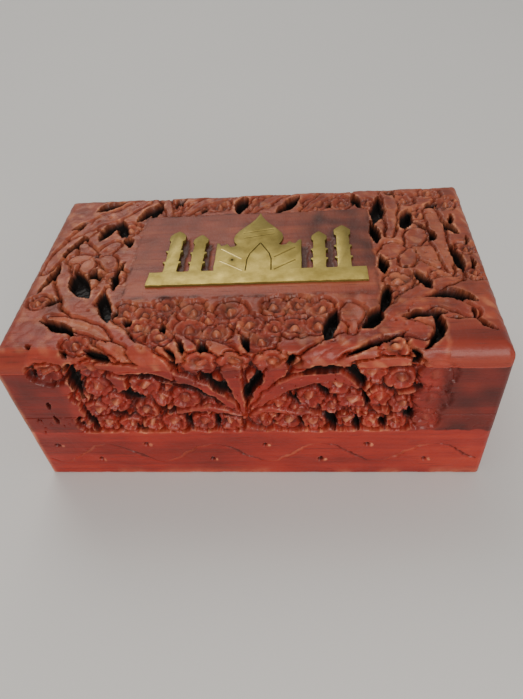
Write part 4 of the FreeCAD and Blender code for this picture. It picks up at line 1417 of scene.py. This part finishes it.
@dataclass
class CarvedPlank:
    """An upright plank of the base or the lid, carved on its outer face."""

    name: str
    node: str
    facing: Facing
    body: Body
    low: float
    high: float
    low_round: float
    high_round: float
    step: float = 0.32
    end_round: float = 0.25
    fading_from: float = 49.0
    darker_from: float = 56.0
    lit_worn_corner: float = -73.4
    foot: float = 5.0
    wave_margin: float = 3.0
    end_wave: float = 33.0

    def __post_init__(self) -> None:
        """Work out which way the plank faces."""
        self.front = self.facing is Facing.FRONT
        self.axis = 1 if self.front else 0
        self.sense = -1 if self.facing is Facing.RIGHT else 1
        self.outer = -BOX.half_depth if self.front else -self.sense * BOX.half_length

    def place(self, a: np.ndarray, b: np.ndarray, depth: np.ndarray) -> np.ndarray:
        """Move points of the face to where the plank stands.

        Args:
            a: Places across the face, in millimetres.
            b: Places up it.
            depth: Depths behind it.

        Returns:
            Rows of x, y and z in metres.
        """
        inward = self.outer + self.sense * depth
        rows = (a, inward, b) if self.front else (inward, -self.sense * a, b)
        return np.stack(rows, axis=1) * MM

    def relief(self, face: CarvedFace) -> Relief:
        """Carve the face's share of its motif.

        Args:
            face: The grid over the face.

        Returns:
            The carved heights.
        """
        u, v = face.u, face.v
        motif = FRONT_MOTIF if self.front else END_MOTIF
        relief = Relief(u, v, motif.seed)
        above = smooth((relief.hand_v - BOX.band_height) / 0.5)
        relief.motif(motif, above)
        relief.nick(motif.nicks, (relief.gap < relief.margin) * above if self.body is Body.LID else above)
        # Stain over the face, darker towards both ends.
        stain = 0.28 + 0.12 * waver(u, v, 11.0, motif.seed + 9) \
            + 0.33 * smooth((np.abs(u) - self.darker_from) / 3)
        full = above
        if self.front:
            full = above * (1 - 0.62 * smooth((u - self.fading_from) / 4))
            # Painted shade with stain, darker towards the right end where the light from the left falls off.
            stain += 0.22 * smooth((u - self.fading_from) / 3)
        relief.height *= full
        relief.rub_and_highlight *= full ** 2
        relief.grime = above * np.clip(np.maximum(relief.grime, stain), 0, 1)
        if self.front:
            # Lighter along the foot in patches; down the rounded left corner a painted highlight with wear, where
            # the light from the left catches it.
            foot = 0.22 * smooth((self.foot - v) / self.foot) * smooth(0.5 + waver(u, v, 24.0, motif.seed + 10))
            relief.add_rub_and_highlight(np.maximum(0.7 * smooth((self.lit_worn_corner - u) / 1.6), foot))
        if self.low < BOX.band_height:
            relief.wave(BOX.half_length - self.wave_margin if self.front else self.end_wave)
        relief.height -= 0.1 * smooth(waver(u, v, 14.0, motif.seed + 8)) + 0.05 * relief.chatter
        return relief

    def build(self) -> bpy.types.Object:
        """Make the plank.

        Returns:
            The finished piece.
        """
        end = BOX.half_length if self.front else BOX.half_depth - BOX.wall
        side_round = BOX.corner_round if self.front else self.end_round
        face = CarvedFace(self.name, Roll(-end, end, side_round, side_round, self.step),
                          Roll(self.low, self.high, self.low_round, self.high_round, self.step))
        face.lay()
        put_corners(face.piece, self.place(face.a, face.b, face.drop))
        face.carve(self.relief(face), "Y" if self.front else "X", self.sense)
        rebated = self.low == 0
        back = self.outer + self.sense * (BOX.wall - (BOX.floor_rebate if rebated else 0))
        close_back(face.piece, self.axis, back * MM)
        if rebated:
            self.leave_rebate(face.piece, back)
        smooth_shade(face.piece, 55)
        dress(face.piece, LENGTH_WOOD if self.front else CROSS_WOOD, "carved_wood", self.body, self.node)
        return face.piece

    def leave_rebate(self, piece: bpy.types.Object, plane: float) -> None:
        """Take the plank on to its full thickness everywhere but at the seat of the floor panel.

        Args:
            piece: The plank, closed at the depth of the seat.
            plane: Where it is closed, in millimetres.
        """
        side = (BOX.half_length - BOX.wall + BOX.floor_rebate) * MM
        seat_top = BOX.floor_thickness * MM

        def at_back(middles: np.ndarray, normals: np.ndarray) -> np.ndarray:
            """Faces that close the back."""
            return (np.abs(middles[:, self.axis] - plane * MM) < 1e-5) & (np.abs(normals[:, self.axis]) > 0.99)

        def full(middles: np.ndarray, normals: np.ndarray) -> np.ndarray:
            """Faces at the back that aren't the seat's."""
            seat = (middles[:, 2] < seat_top) & ((np.abs(middles[:, 0]) < side) | (not self.front))
            return at_back(middles, normals) & ~seat

        cuts = [((0, 0, seat_top), (0, 0, 1))]
        if self.front:
            cuts += [((-side, 0, 0), (1, 0, 0)), ((side, 0, 0), (1, 0, 0))]
        for spot, square in cuts:
            with editing(piece, at_back):
                bpy.ops.mesh.bisect(plane_co=spot, plane_no=square)
        with editing(piece, full):
            extrude(along(self.axis, self.sense * BOX.floor_rebate * MM))
            face_outwards()


@dataclass
class LidBoard:
    """The lid's board: a carved border round a plain panel, rolled over at the front.

    Pocket slack is kept as x, low and high y, and width, for the right side of each upright part of the inlay.
    """

    panel_left: float = -41.6
    panel_right: float = 41.2
    panel_front: float = -19.4
    panel_back: float = 29.2
    panel_soft: float = 0.6
    corner_left: float = 57.5
    corner_back: float = -31.5
    far_corner_right: float = -64.0
    far_corner_back: float = -41.0
    ledge_front: float = -28.5
    nose_scale: float = 0.81
    nose_top: float = 63.0
    nose_carved_to: float = 57.5
    nose_stained_to: float = 58.5
    nose_fading_from: float = 50.0
    nose_skirt: float = 0.6
    panel_shade_left: float = 13.0
    panel_shade_front: float = -10.0
    step: float = 0.41
    slack: tuple[tuple[float, ...], ...] = (
        (-24.4, -6, 15, 2.6), (-15.9, -6, 12, 2.4), (17.0, -6, 9, 2.8), (25.6, -6, 12, 2.8), (33.8, -8, 15, 5),
    )
    slack_depth: float = 0.6
    narrow_slack: float = 4.0

    def panel(self, relief: Relief) -> np.ndarray:
        """Share of the plain panel at each point, soft at its edge."""
        return between(relief.hand_u, self.panel_left, self.panel_right, self.panel_soft) \
            * between(relief.hand_v, self.panel_front, self.panel_back, self.panel_soft)

    def field(self, relief: Relief) -> np.ndarray:
        """Where the ground is cut away: all round the panel, but for two plain corners.

        Args:
            relief: The carved heights.

        Returns:
            Share of the ground's depth at each point.
        """
        u, v, soft = relief.hand_u, relief.hand_v, 1.5
        corner = smooth((u - self.corner_left) / soft) * smooth((self.corner_back - v) / soft)
        far_corner = smooth((self.far_corner_right - u) / soft) * smooth((self.far_corner_back - v) / soft)
        return (1 - self.panel(relief)) * (1 - corner) * (1 - far_corner)

    def relief(self, face: CarvedFace) -> Relief:
        """Carve the border.

        Args:
            face: The grid over the board.

        Returns:
            The carved heights.
        """
        u, v = face.u, face.v
        relief = Relief(u, v, LID_MOTIF.seed, ground_depth=1.6, void_depth=5.0, margin=1.4)
        inside = self.field(relief)
        relief.motif(LID_MOTIF, inside)
        relief.nick(LID_MOTIF.nicks, (relief.gap < relief.margin) * inside)
        self.turn_over(face, relief)
        relief.height -= 0.3 * np.clip(scallops(u, v, 3.1, Uneven.GOUGES) - 0.2, 0, 1) * inside
        panel = self.panel(relief)
        relief.height *= 1 - panel
        relief.height -= 0.35 * np.exp(-((panel - 0.5) / 0.3) ** 2)
        facets = smooth((face.drop - 0.4) / 3) * (scallops(u, v, 5.2, Uneven.EDGE_FACETS) - 0.15)
        relief.height = np.minimum(relief.height, -0.8 * np.maximum(facets, 0) * inside)
        relief.height -= 0.08 * smooth(waver(u, v, 16.0, Uneven.PLANING)) + 0.04 * relief.chatter
        # Dirt and painted shade stay full only in the deep hollows.
        relief.grime *= 0.66 + 0.34 * smooth((-relief.height - 1.9) / 0.8)
        self.soil_and_shade(relief)
        stain = inside * (0.1 + 0.14 * waver(u, v, 13.0, Uneven.BORDER_STAIN))
        stain += 0.3 * (1 - inside) * (1 - panel)
        ledge = smooth((v - self.ledge_front) / 4) * smooth((self.panel_front - v) / 1.5)
        stain += 0.26 * inside * ledge * smooth(0.75 + waver(u, v, 16.0, Uneven.LEDGE_STAIN))
        relief.grime = np.clip(np.maximum(relief.grime, stain), 0, 1)
        relief.rub_and_highlight *= 0.8
        # Lighter patches over the border: rubbing, with a painted sheen.
        relief.add_rub_and_highlight(0.32 * inside * smooth(waver(u, v, 8.0, Uneven.RUBBING) - 0.1))
        return relief

    def turn_over(self, face: CarvedFace, relief: Relief) -> None:
        """Carry the carving of the front on over the rolled nose.

        Args:
            face: The grid over the board.
            relief: The board's own carving, which gives way on the nose.
        """
        rise = BOX.board_bottom + (face.v - face.v.min()) / self.nose_scale
        rows = np.flatnonzero(rise < self.nose_top)
        u, rise = face.u[rows], rise[rows]
        front = Relief(u, rise, FRONT_MOTIF.seed)
        front.motif(FRONT_MOTIF, np.ones(rows.size))
        share = np.maximum(smooth((self.nose_carved_to - rise) / 2), smooth(1 - front.gap))
        share *= smooth((self.nose_top - rise) / 1.5) * (1 - 0.8 * smooth((u - self.nose_fading_from) / 3))
        for own, other in ((relief.height, front.height), (relief.grime, front.grime), (relief.rub_and_highlight, front.rub_and_highlight)):
            own[rows] = own[rows] * (1 - share) + other * share
        stain = 0.34 + 0.12 * waver(u, rise, 11.0, Uneven.NOSE_STAIN)
        relief.add_grime_and_shade(stain * smooth((self.nose_stained_to - rise) / 5), rows)

    def soil_and_shade(self, relief: Relief) -> None:
        """Darken the panel with painted shade and dust, darken its edge, and darken and sink strips beside the
        inlay.

        Args:
            relief: The carved heights, whose darkening is added to.
        """
        u, v = relief.hand_u, relief.hand_v
        # Darker strips to the right of the inlay's upright parts, sunk a little where they are narrow.
        for x, low, high, width in self.slack:
            gap = smooth((u - x + 1.2) / 0.6) * smooth((x + width - u) / (0.5 * width)) \
                * smooth((v - low + 1) / 1.5) * smooth((high - v) / 2.5)
            narrow = width < self.narrow_slack
            relief.add_grime_and_shade(gap * (1.0 if narrow else 0.5))
            relief.height -= self.slack_depth * gap * narrow
        # Painted shade with dust over the panel behind its front strip, darker to the right where the light from the
        # left falls off.
        polish = (0.36 + 0.5 * smooth((u - self.panel_shade_left) / 9)) * smooth((v - self.panel_shade_front) / 6)
        relief.add_grime_and_shade(polish * self.panel(relief) * (0.8 + 0.25 * waver(u, v, 9.0, Uneven.POLISH)))
        # Darker along the panel's edge.
        rim = np.minimum(np.minimum(u - self.panel_left, self.panel_right - u),
                         np.minimum(v - self.panel_front, self.panel_back - v))
        relief.add_grime_and_shade(np.exp(-((rim - 0.6) / 0.8) ** 2) * (0.4 + 0.3 * waver(u, v, 8.0, Uneven.PANEL_RIM)))
        relief.grime = np.clip(relief.grime, 0, 1)

    def build(self) -> bpy.types.Object:
        """Make the board.

        Returns:
            The finished piece.
        """
        edge = BOX.edge_round
        face = CarvedFace("lid_board_carved", Roll(-BOX.half_length, BOX.half_length, edge, edge, self.step),
                          Roll(-BOX.half_depth, BOX.half_depth, BOX.nose_round, edge, self.step, self.nose_skirt))
        face.lay()
        a, b = face.a, face.b
        over_a = np.maximum(np.abs(a) - BOX.half_length + BOX.corner_round, 0)
        over_b = np.maximum(np.abs(b) - BOX.half_depth + BOX.corner_round, 0)
        shrink = np.maximum(over_a, over_b) / np.maximum(np.hypot(over_a, over_b), 1e-9)
        cornered = (over_a > 0) & (over_b > 0)
        a = np.where(cornered, np.sign(a) * (np.abs(a) - over_a * (1 - shrink)), a)
        b = np.where(cornered, np.sign(b) * (np.abs(b) - over_b * (1 - shrink)), b)
        put_corners(face.piece, np.stack((a, b, BOX.height - face.drop), axis=1) * MM)
        face.carve(self.relief(face), "NORMAL", -1)
        close_back(face.piece, 2, BOX.board_bottom * MM)
        smooth_shade(face.piece, 60)
        dress(face.piece, LID_WOOD_AND_SHEEN, "carved_wood", Body.LID, "lid_top_board")
        return face.piece


@dataclass
class BrassInlay:
    """The cut brass sheet: a domed building between four towers, on a plinth.

    Grooves are kept as points, width and dirt: doorway, left wing, right wing and dome.
    """

    top: float = 60.8
    thickness: float = 1.4
    plinth_left: float = -34.0
    plinth_right: float = 38.0
    plinth_bottom: float = -13.5
    plinth_top: float = -6.6
    dome_middle: float = 1.8
    ease: float = 0.16
    saw_step: float = 2.2
    saw_waver: float = 0.09
    groove_depth: float = 0.22
    groove_reach: float = 0.8
    rim_dirt_and_shade: float = 0.6
    rim_drop: float = 0.1
    pin_ease: float = 0.18
    pin_dirt: float = 0.75
    dome: tuple[Point, ...] = (
        (7.2, 7.4), (8.2, 9.3), (8.6, 11.5), (8.2, 13.9), (6.8, 16.4), (5.0, 18.6), (3.2, 20.9), (1.7, 23.2),
        (0.7, 25.3), (0.15, 27.4),
    )
    right_wing: tuple[Point, ...] = (
        (16.8, 9.6), (15.8, 9.4), (14.6, 7.6), (13.6, 7.9), (12.8, 9.0), (11.4, 7.0), (9.8, 6.9),
    )
    left_wing: tuple[Point, ...] = (
        (-6.2, 6.9), (-7.6, 6.6), (-9.0, 8.6), (-9.8, 7.4), (-10.9, 7.2), (-11.6, 9.0), (-12.4, 9.0),
    )
    towers: tuple[tuple[float, float, float], ...] = (
        (30.8, 2.25, 24.2), (22.8, 2.15, 20.8), (-18.4, 2.15, 21.2), (-27.0, 2.3, 24.0),
    )
    grooves: tuple[tuple[tuple[Point, ...], float, float], ...] = (
        (((-1.6, -7.2), (-1.4, -1.0), (-0.6, 2.2), (2.7, 8.4)), 0.5, 0.9),
        (((6.9, -7.2), (6.7, -1.0), (5.9, 2.2), (2.7, 8.4)), 0.5, 0.9),
        (((-10.8, 5.6), (-3.2, -0.6)), 0.8, 0.0), (((-10.8, -1.2), (-2.6, -7.0)), 0.8, 0.0),
        (((7.6, -0.2), (14.6, 5.0)), 1.0, 0.6), (((7.8, -6.9), (14.8, -2.0)), 1.0, 0.6),
        (((-3.6, 14.6), (7.4, 16.8)), 1.0, 0.8), (((-3.2, 11.6), (7.4, 13.8)), 1.0, 0.8),
    )

    def tower(self, x: float, half: float, height: float) -> list[Point]:
        """Outline of a tower, from the foot of its right side over its cap to the foot of its left side.

        Args:
            x: Middle of the tower.
            half: Half its width.
            height: Its height above the plinth.

        Returns:
            The points in order.
        """
        side = [(half + 0.2, 0), (half, 0.6)]
        for level in (0.2, 0.46):
            y = height * level
            side += [(half, y - 0.2), (half + 0.75, y + 0.5), (half + 0.7, y + 1.0), (half - 0.05, y + 1.3)]
        cap = height * 0.76
        side += [(half - 0.1, cap - 0.6), (half + 0.55, cap + 0.3), (half + 0.5, height - 2.9),
                 (half - 0.5, height - 1.5), (0.7, height - 0.5)]
        right = [(x + reach, self.plinth_top + y) for reach, y in side]
        left = [(x - reach, self.plinth_top + y) for reach, y in reversed(side)]
        return right + [(x, self.plinth_top + height)] + left

    def building(self) -> list[Point]:
        """Outline of the building and its dome.

        Returns:
            The points in order, from the right foot to the left foot.
        """
        dome_right = [(self.dome_middle + reach, y) for reach, y in self.dome]
        dome_left = [(self.dome_middle - reach, y) for reach, y in reversed(self.dome)]
        return [(16.9, self.plinth_top), *self.right_wing, *dome_right, *dome_left, *self.left_wing,
                (-12.3, self.plinth_top)]

    def outline(self) -> np.ndarray:
        """Whole outline against the clock, with the small waver of a hand saw.

        Returns:
            Rows of x and y in millimetres.
        """
        towers = [self.tower(*row) for row in self.towers]
        points = [(self.plinth_left, self.plinth_bottom), (self.plinth_right, self.plinth_bottom + 0.3),
                  (self.plinth_right - 0.2, self.plinth_top), *towers[0], *towers[1], *self.building(),
                  *towers[2], *towers[3], (self.plinth_left + 0.2, self.plinth_top)]
        fine = []
        for (x0, y0), (x1, y1) in zip(points, points[1:] + points[:1]):
            parts = max(1, round(math.hypot(x1 - x0, y1 - y0) / self.saw_step))
            fine += [(x0 + (x1 - x0) * t / parts, y0 + (y1 - y0) * t / parts) for t in range(parts)]
        rows = np.array(fine)
        seeds = (Uneven.SAW_ACROSS, Uneven.SAW_ALONG)
        return rows + self.saw_waver * np.stack([waver(rows[:, 0], rows[:, 1], 5.0, seed) for seed in seeds], axis=1)

    def groove_dirt(self, x: np.ndarray, y: np.ndarray) -> np.ndarray:
        """Darkening at each place: dirt of the engraved line, or away from them all the rim's dirt and painted
        shade.

        Args:
            x: Places along the lid, in millimetres.
            y: Places from front to back.

        Returns:
            Shares of dirt.
        """
        nearest, dirt_and_shade = np.full(x.shape, 99.0), np.zeros(x.shape)
        for points, _, share in self.grooves:
            for start, end in zip(points[:-1], points[1:]):
                _, away = beside(x, y, start, end)
                dirt_and_shade = np.where(away < nearest, share, dirt_and_shade)
                nearest = np.minimum(away, nearest)
        # Away from the lines, the rim's dirt and painted shade.
        return np.where(nearest < self.groove_reach, dirt_and_shade, self.rim_dirt_and_shade)

    def engrave(self, sheet: bpy.types.Object) -> None:
        """Cut the engraved lines.

        Args:
            sheet: The brass sheet.
        """
        for points, width, _ in self.grooves:
            curve = bpy.data.curves.new("graver", "CURVE")
            curve.dimensions = "3D"
            curve.bevel_depth = width / 2 * MM
            curve.bevel_resolution = 1
            curve.use_fill_caps = True
            spline = curve.splines.new("POLY")
            spline.points.add(len(points) - 1)
            for spot, (x, y) in zip(spline.points, points):
                spot.co = (x * MM, y * MM, (self.top + width / 2 - self.groove_depth) * MM, 1)
            graver = put_in_scene("graver", curve)
            work_on(graver)
            bpy.ops.object.convert(target="MESH")
            cut_out(sheet, graver)

    def build(self) -> bpy.types.Object:
        """Make the sheet: its outline, raised to its thickness, with eased edges and engraved lines.

        Returns:
            The finished piece.
        """
        outline = self.outline()
        clear_selection()
        bpy.ops.mesh.primitive_circle_add(vertices=len(outline), radius=1, fill_type="NGON")
        sheet = fresh_piece("brass_inlay_sheet")
        low = np.full(len(outline), self.top - self.thickness)
        put_corners(sheet, np.column_stack((outline, low)) * MM)
        with editing(sheet):
            bpy.ops.mesh.normals_make_consistent(inside=False)
            extrude((0, 0, self.thickness * MM))
            bpy.ops.mesh.region_to_loop()
            bpy.ops.mesh.bevel(offset=self.ease * MM, segments=2, affect="EDGES", clamp_overlap=True)
            face_outwards()
        self.engrave(sheet)
        x, y, z = corners(sheet).T / MM
        below = z < self.top - self.rim_drop
        tarnish = 0.48 * smooth((y + 4) / 12)
        dirt_and_shade = np.where(below, self.groove_dirt(x, y), tarnish)
        paint(sheet, "grime", dirt_and_shade)
        # The left wing's clean lines take the painted highlight.
        paint(sheet, "polish", (dirt_and_shade == 0) & below)
        smooth_shade(sheet, 40)
        dress(sheet, INLAY_BRASS, "inlay_brass", Body.LID, "brass_inlay")
        return sheet

    def pin(self) -> bpy.types.Object:
        """Make the small pin that holds the left wing.

        Returns:
            The finished piece.
        """
        low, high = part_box("inlay_pin")
        clear_selection()
        bpy.ops.mesh.primitive_cylinder_add(vertices=20, radius=(high.x - low.x) / 2, depth=high.z - low.z,
                                            location=(low + high) / 2)
        pin = fresh_piece("inlay_pin_round")
        settle(pin)
        with editing(pin, lambda middles, normals: normals[:, 2] > 0.9):
            bpy.ops.mesh.bevel(offset=self.pin_ease * MM, segments=2, affect="EDGES")
        paint(pin, "grime", np.full(len(pin.data.vertices), self.pin_dirt))
        smooth_shade(pin, 50)
        dress(pin, INLAY_BRASS, "inlay_brass", Body.LID, "inlay_pin")
        return pin


@dataclass
class EasedCopy:
    """A plain piece that keeps the shape of its node, with its edges eased by sanding."""

    node: str
    name: str
    slot: str
    body: Body
    finish: Finish
    ease: float = 0.35

    def build(self) -> bpy.types.Object:
        """Copy the node, join its loose faces and ease its edges.

        Returns:
            The finished piece.
        """
        copy = put_in_scene(self.name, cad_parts[self.node].data.copy())
        with editing(copy):
            bpy.ops.mesh.remove_doubles(threshold=1e-6)
            bpy.ops.mesh.dissolve_limited(angle_limit=math.radians(1.0))
        apply_modifier(copy, "BEVEL", width=self.ease * MM, segments=2, limit_method="ANGLE",
                       angle_limit=math.radians(40), use_clamp_overlap=True)
        smooth_shade(copy, 35)
        dress(copy, self.finish, self.slot, self.body, self.node)
        return copy


@dataclass
class HingeScrews:
    """Slotted countersunk screws that hold the leaves of both hinges on one side of the seam."""

    body: Body
    node: str
    head_height: float
    sense: int
    hinge_places: tuple[float, ...] = (-42.0, 42.0)
    spread: float = 11.0
    row: float = 38.2
    head_radius: float = 1.2
    head_rim: float = 0.12
    head_depth: float = 0.5
    shank_radius: float = 0.6
    tip: float = 0.85
    tip_share: float = 0.25
    length: float = 4.9
    slot_size: Place = (3.0, 0.36, 0.8)

    def screw(self) -> bpy.types.Object:
        """Make one screw, its head upwards at height zero.

        Returns:
            The screw.
        """
        clear_selection()
        bpy.ops.mesh.primitive_circle_add(vertices=24, radius=self.head_radius * MM, fill_type="NGON")
        screw = fresh_piece("screw")
        narrowing = self.shank_radius / self.head_radius
        with editing(screw):
            for drop, share in ((self.head_rim, 1.0), (self.head_depth, narrowing), (self.length - 1.4, 1.0),
                                (self.tip, self.tip_share)):
                extrude((0, 0, -drop * MM))
                bpy.ops.transform.resize(value=(share, share, 1), center_override=(0, 0, 0))
            face_outwards()
        bpy.ops.mesh.primitive_cube_add(size=1)
        slot = fresh_piece("slot_cutter")
        slot.scale = Vector(self.slot_size) * MM
        settle(slot)
        cut_out(screw, slot)
        return screw

    def build(self) -> bpy.types.Object:
        """Copy the screw to each of its places and join the copies.

        Returns:
            The finished group of screws.
        """
        first = self.screw()
        flip = Matrix.Rotation(0 if self.sense > 0 else math.pi, 4, "X")
        copies = []
        for hinge in self.hinge_places:
            for side in (-0.5, 0.5):
                mesh = first.data.copy()
                turn = Matrix.Rotation(0.7 * len(copies) + 0.4, 4, "Z")
                spot = Vector((hinge + side * self.spread, self.row, self.head_height)) * MM
                mesh.transform(Matrix.Translation(spot) @ flip @ turn)
                copies.append(put_in_scene("screw_copy", mesh))
        bpy.data.objects.remove(first)
        work_on(copies[0])
        for copy in copies[1:]:
            copy.select_set(True)
        bpy.ops.object.join()
        group = fresh_piece(f"{self.body.value}_screws_slotted")
        smooth_shade(group, 35)
        dress(group, HINGE_BRASS, "hinge_brass", self.body, self.node)
        return group


@dataclass
class VelvetSheet:
    """A cut sheet of velvet that lines one half of the box."""

    node: str
    name: str
    body: Body
    held: str
    rests_on: str
    upward: bool
    seed: int
    step: float = 1.1
    swell: float = 0.16
    thickness: float = 0.28

    def build(self) -> bpy.types.Object:
        """Lay the sheet, let it swell a little, and give it its thickness.

        Returns:
            The finished piece.
        """
        low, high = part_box(self.node)
        size = high - low
        parts = [round(length / MM / self.step) for length in (size.x, size.y)]
        clear_selection()
        bpy.ops.mesh.primitive_grid_add(x_subdivisions=parts[0], y_subdivisions=parts[1], size=1)
        sheet = fresh_piece(self.name)
        spots = corners(sheet)
        spots[:, 0] = spots[:, 0] * size.x + (low.x + high.x) / 2
        spots[:, 1] = spots[:, 1] * size.y + (low.y + high.y) / 2
        x, y = spots[:, 0] / MM, spots[:, 1] / MM
        rim = np.minimum(np.minimum(x - low.x / MM, high.x / MM - x), np.minimum(y - low.y / MM, high.y / MM - y))
        rise = 0.62 + self.swell * waver(x, y, 26.0, self.seed) + 0.05 * waver(x, y, 7.0, self.seed + 1)
        rise = np.clip(rise * (0.55 + 0.45 * smooth(rim / 1.6)), 0.3, 0.92)
        spots[:, 2] = low.z + rise * MM if self.upward else high.z - rise * MM
        put_corners(sheet, spots)
        if not self.upward:
            with editing(sheet):
                bpy.ops.mesh.flip_normals()
        apply_modifier(sheet, "SOLIDIFY", thickness=self.thickness * MM, offset=-1.0)
        smooth_shade(sheet, 60)
        dress(sheet, VELVET, "velvet", self.body, self.node)
        return sheet


@dataclass(frozen=True)
class Lamp:
    """A soft square lamp that looks at the box: its place and side in metres, and its power in watts."""

    name: str
    place: Place
    size: float
    power: float
    colour: Rgb = (1.0, 0.96, 0.9)
    aim: Place = (0, 0, 0.03)

    def hang(self) -> None:
        """Hang the lamp."""
        data = bpy.data.lights.new(self.name, "AREA")
        data.size = self.size
        data.energy = self.power
        data.color = self.colour
        lamp = put_in_scene(self.name, data)
        lamp.location = self.place
        lamp.rotation_euler = (Vector(self.aim) - Vector(self.place)).to_track_quat("-Z", "Y").to_euler()


@dataclass
class Studio:
    """Pale floor, soft lights and the camera."""

    camera_place: Place = (0.01997, -0.15786, 0.17479)
    pitch: float = 44.767
    yaw: float = -7.178
    roll: float = -6.155
    lens: float = 29.638
    sensor: float = 36.0
    nearest: float = 0.005
    floor_size: float = 6.0
    floor_place: Place = (0, 0, -0.0002)
    sky: Rgb = (0.94, 0.93, 0.92)
    sky_strength: float = 0.45
    lamps: tuple[Lamp, ...] = (
        Lamp("window_lamp", (-0.4, 0.85, 1.25), 0.9, 8.6),
        Lamp("front_lamp", (0.3, -0.95, 0.6), 0.6, 9.6),
    )

    def camera(self) -> None:
        """Set the camera where the box was seen from."""
        data = bpy.data.cameras.new("camera")
        data.lens = self.lens
        data.sensor_width = self.sensor
        data.clip_start = self.nearest
        view = put_in_scene("camera", data)
        turn = Matrix.Rotation(math.radians(-self.yaw), 4, "Z") \
            @ Matrix.Rotation(math.radians(90 - self.pitch), 4, "X") \
            @ Matrix.Rotation(math.radians(self.roll), 4, "Z")
        view.matrix_world = Matrix.Translation(self.camera_place) @ turn
        bpy.context.scene.camera = view

    def floor(self) -> None:
        """Lay the pale floor."""
        clear_selection()
        bpy.ops.mesh.primitive_plane_add(size=self.floor_size, location=self.floor_place)
        floor = fresh_piece("studio_floor")
        floor.data.materials.append(FloorFinish().material())

    def build(self) -> None:
        """Make the studio."""
        world = bpy.data.worlds.new("studio")
        bpy.context.scene.world = world
        world.use_nodes = True
        sky = world.node_tree.nodes["Background"]
        NodeSheet(world.node_tree).wire(sky, {"Color": (*self.sky, 1), "Strength": self.sky_strength})
        self.floor()
        for lamp in self.lamps:
            lamp.hang()
        self.camera()
        LOG.info("studio: floor, lamps and camera")


def plain_pieces() -> list[EasedCopy]:
    """Planks and hinge leaves that keep their nodes' shapes.

    Returns:
        The pieces, in the order in which they are made.
    """
    pieces = [
        EasedCopy("base_back_wall", "back_wall_plain", "plain_wood", Body.BASE, LENGTH_WOOD),
        EasedCopy("lid_back_rim", "back_rim_plain", "plain_wood", Body.LID, LENGTH_WOOD),
        EasedCopy("base_floor_panel", "floor_panel_plain", "plain_wood", Body.BASE, LENGTH_WOOD, 0.3),
    ]
    for side in ("left", "right"):
        for body in Body:
            node = f"hinge_{side}_{body.value}_leaf"
            pieces.append(EasedCopy(node, f"{node}_eased", "hinge_brass", body, HINGE_BRASS, 0.12))
    return pieces


def carved_planks() -> list[CarvedPlank]:
    """Carved planks of the base and of the lid.

    Returns:
        The planks, in the order in which they are made.
    """
    planks = []
    for facing in Facing:
        side = facing.value
        planks.append(CarvedPlank(f"{side}_wall_carved", f"base_{side}_wall", facing, Body.BASE,
                                  0.0, BOX.base_height, 0.8, 0.25))
        planks.append(CarvedPlank(f"{side}_rim_carved", f"lid_{side}_rim", facing, Body.LID,
                                  BOX.lid_bottom, BOX.board_bottom, 0.25, 0.2))
    return planks


def main() -> None:
    """Build every piece of the box in order, then the studio."""
    logging.basicConfig(level=logging.INFO, format="%(name)s: %(message)s")
    clear_selection()
    for plank in carved_planks():
        plank.build()
    LidBoard().build()
    inlay = BrassInlay()
    inlay.build()
    inlay.pin()
    for piece in plain_pieces():
        piece.build()
    HingeScrews(Body.BASE, "base_hinge_screws", BOX.base_height, 1).build()
    HingeScrews(Body.LID, "lid_hinge_screws", BOX.lid_bottom, -1).build()
    VelvetSheet("floor_lining", "floor_lining_velvet", Body.BASE, "laid", "floor_panel_plain", True,
                Uneven.FLOOR_VELVET).build()
    VelvetSheet("lid_lining", "lid_lining_velvet", Body.LID, "stretched", "lid_board_carved", False,
                Uneven.LID_VELVET).build()
    for node in ("hinge_left_pin", "hinge_right_pin"):
        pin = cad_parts[node]
        pin.data.materials.clear()
        pin.data.materials.append(PIN_STEEL.material())
        LOG.info("%s: the frame's own pin, in drawn steel", node)
    Studio().build()


if __name__ == "__main__":
    main()
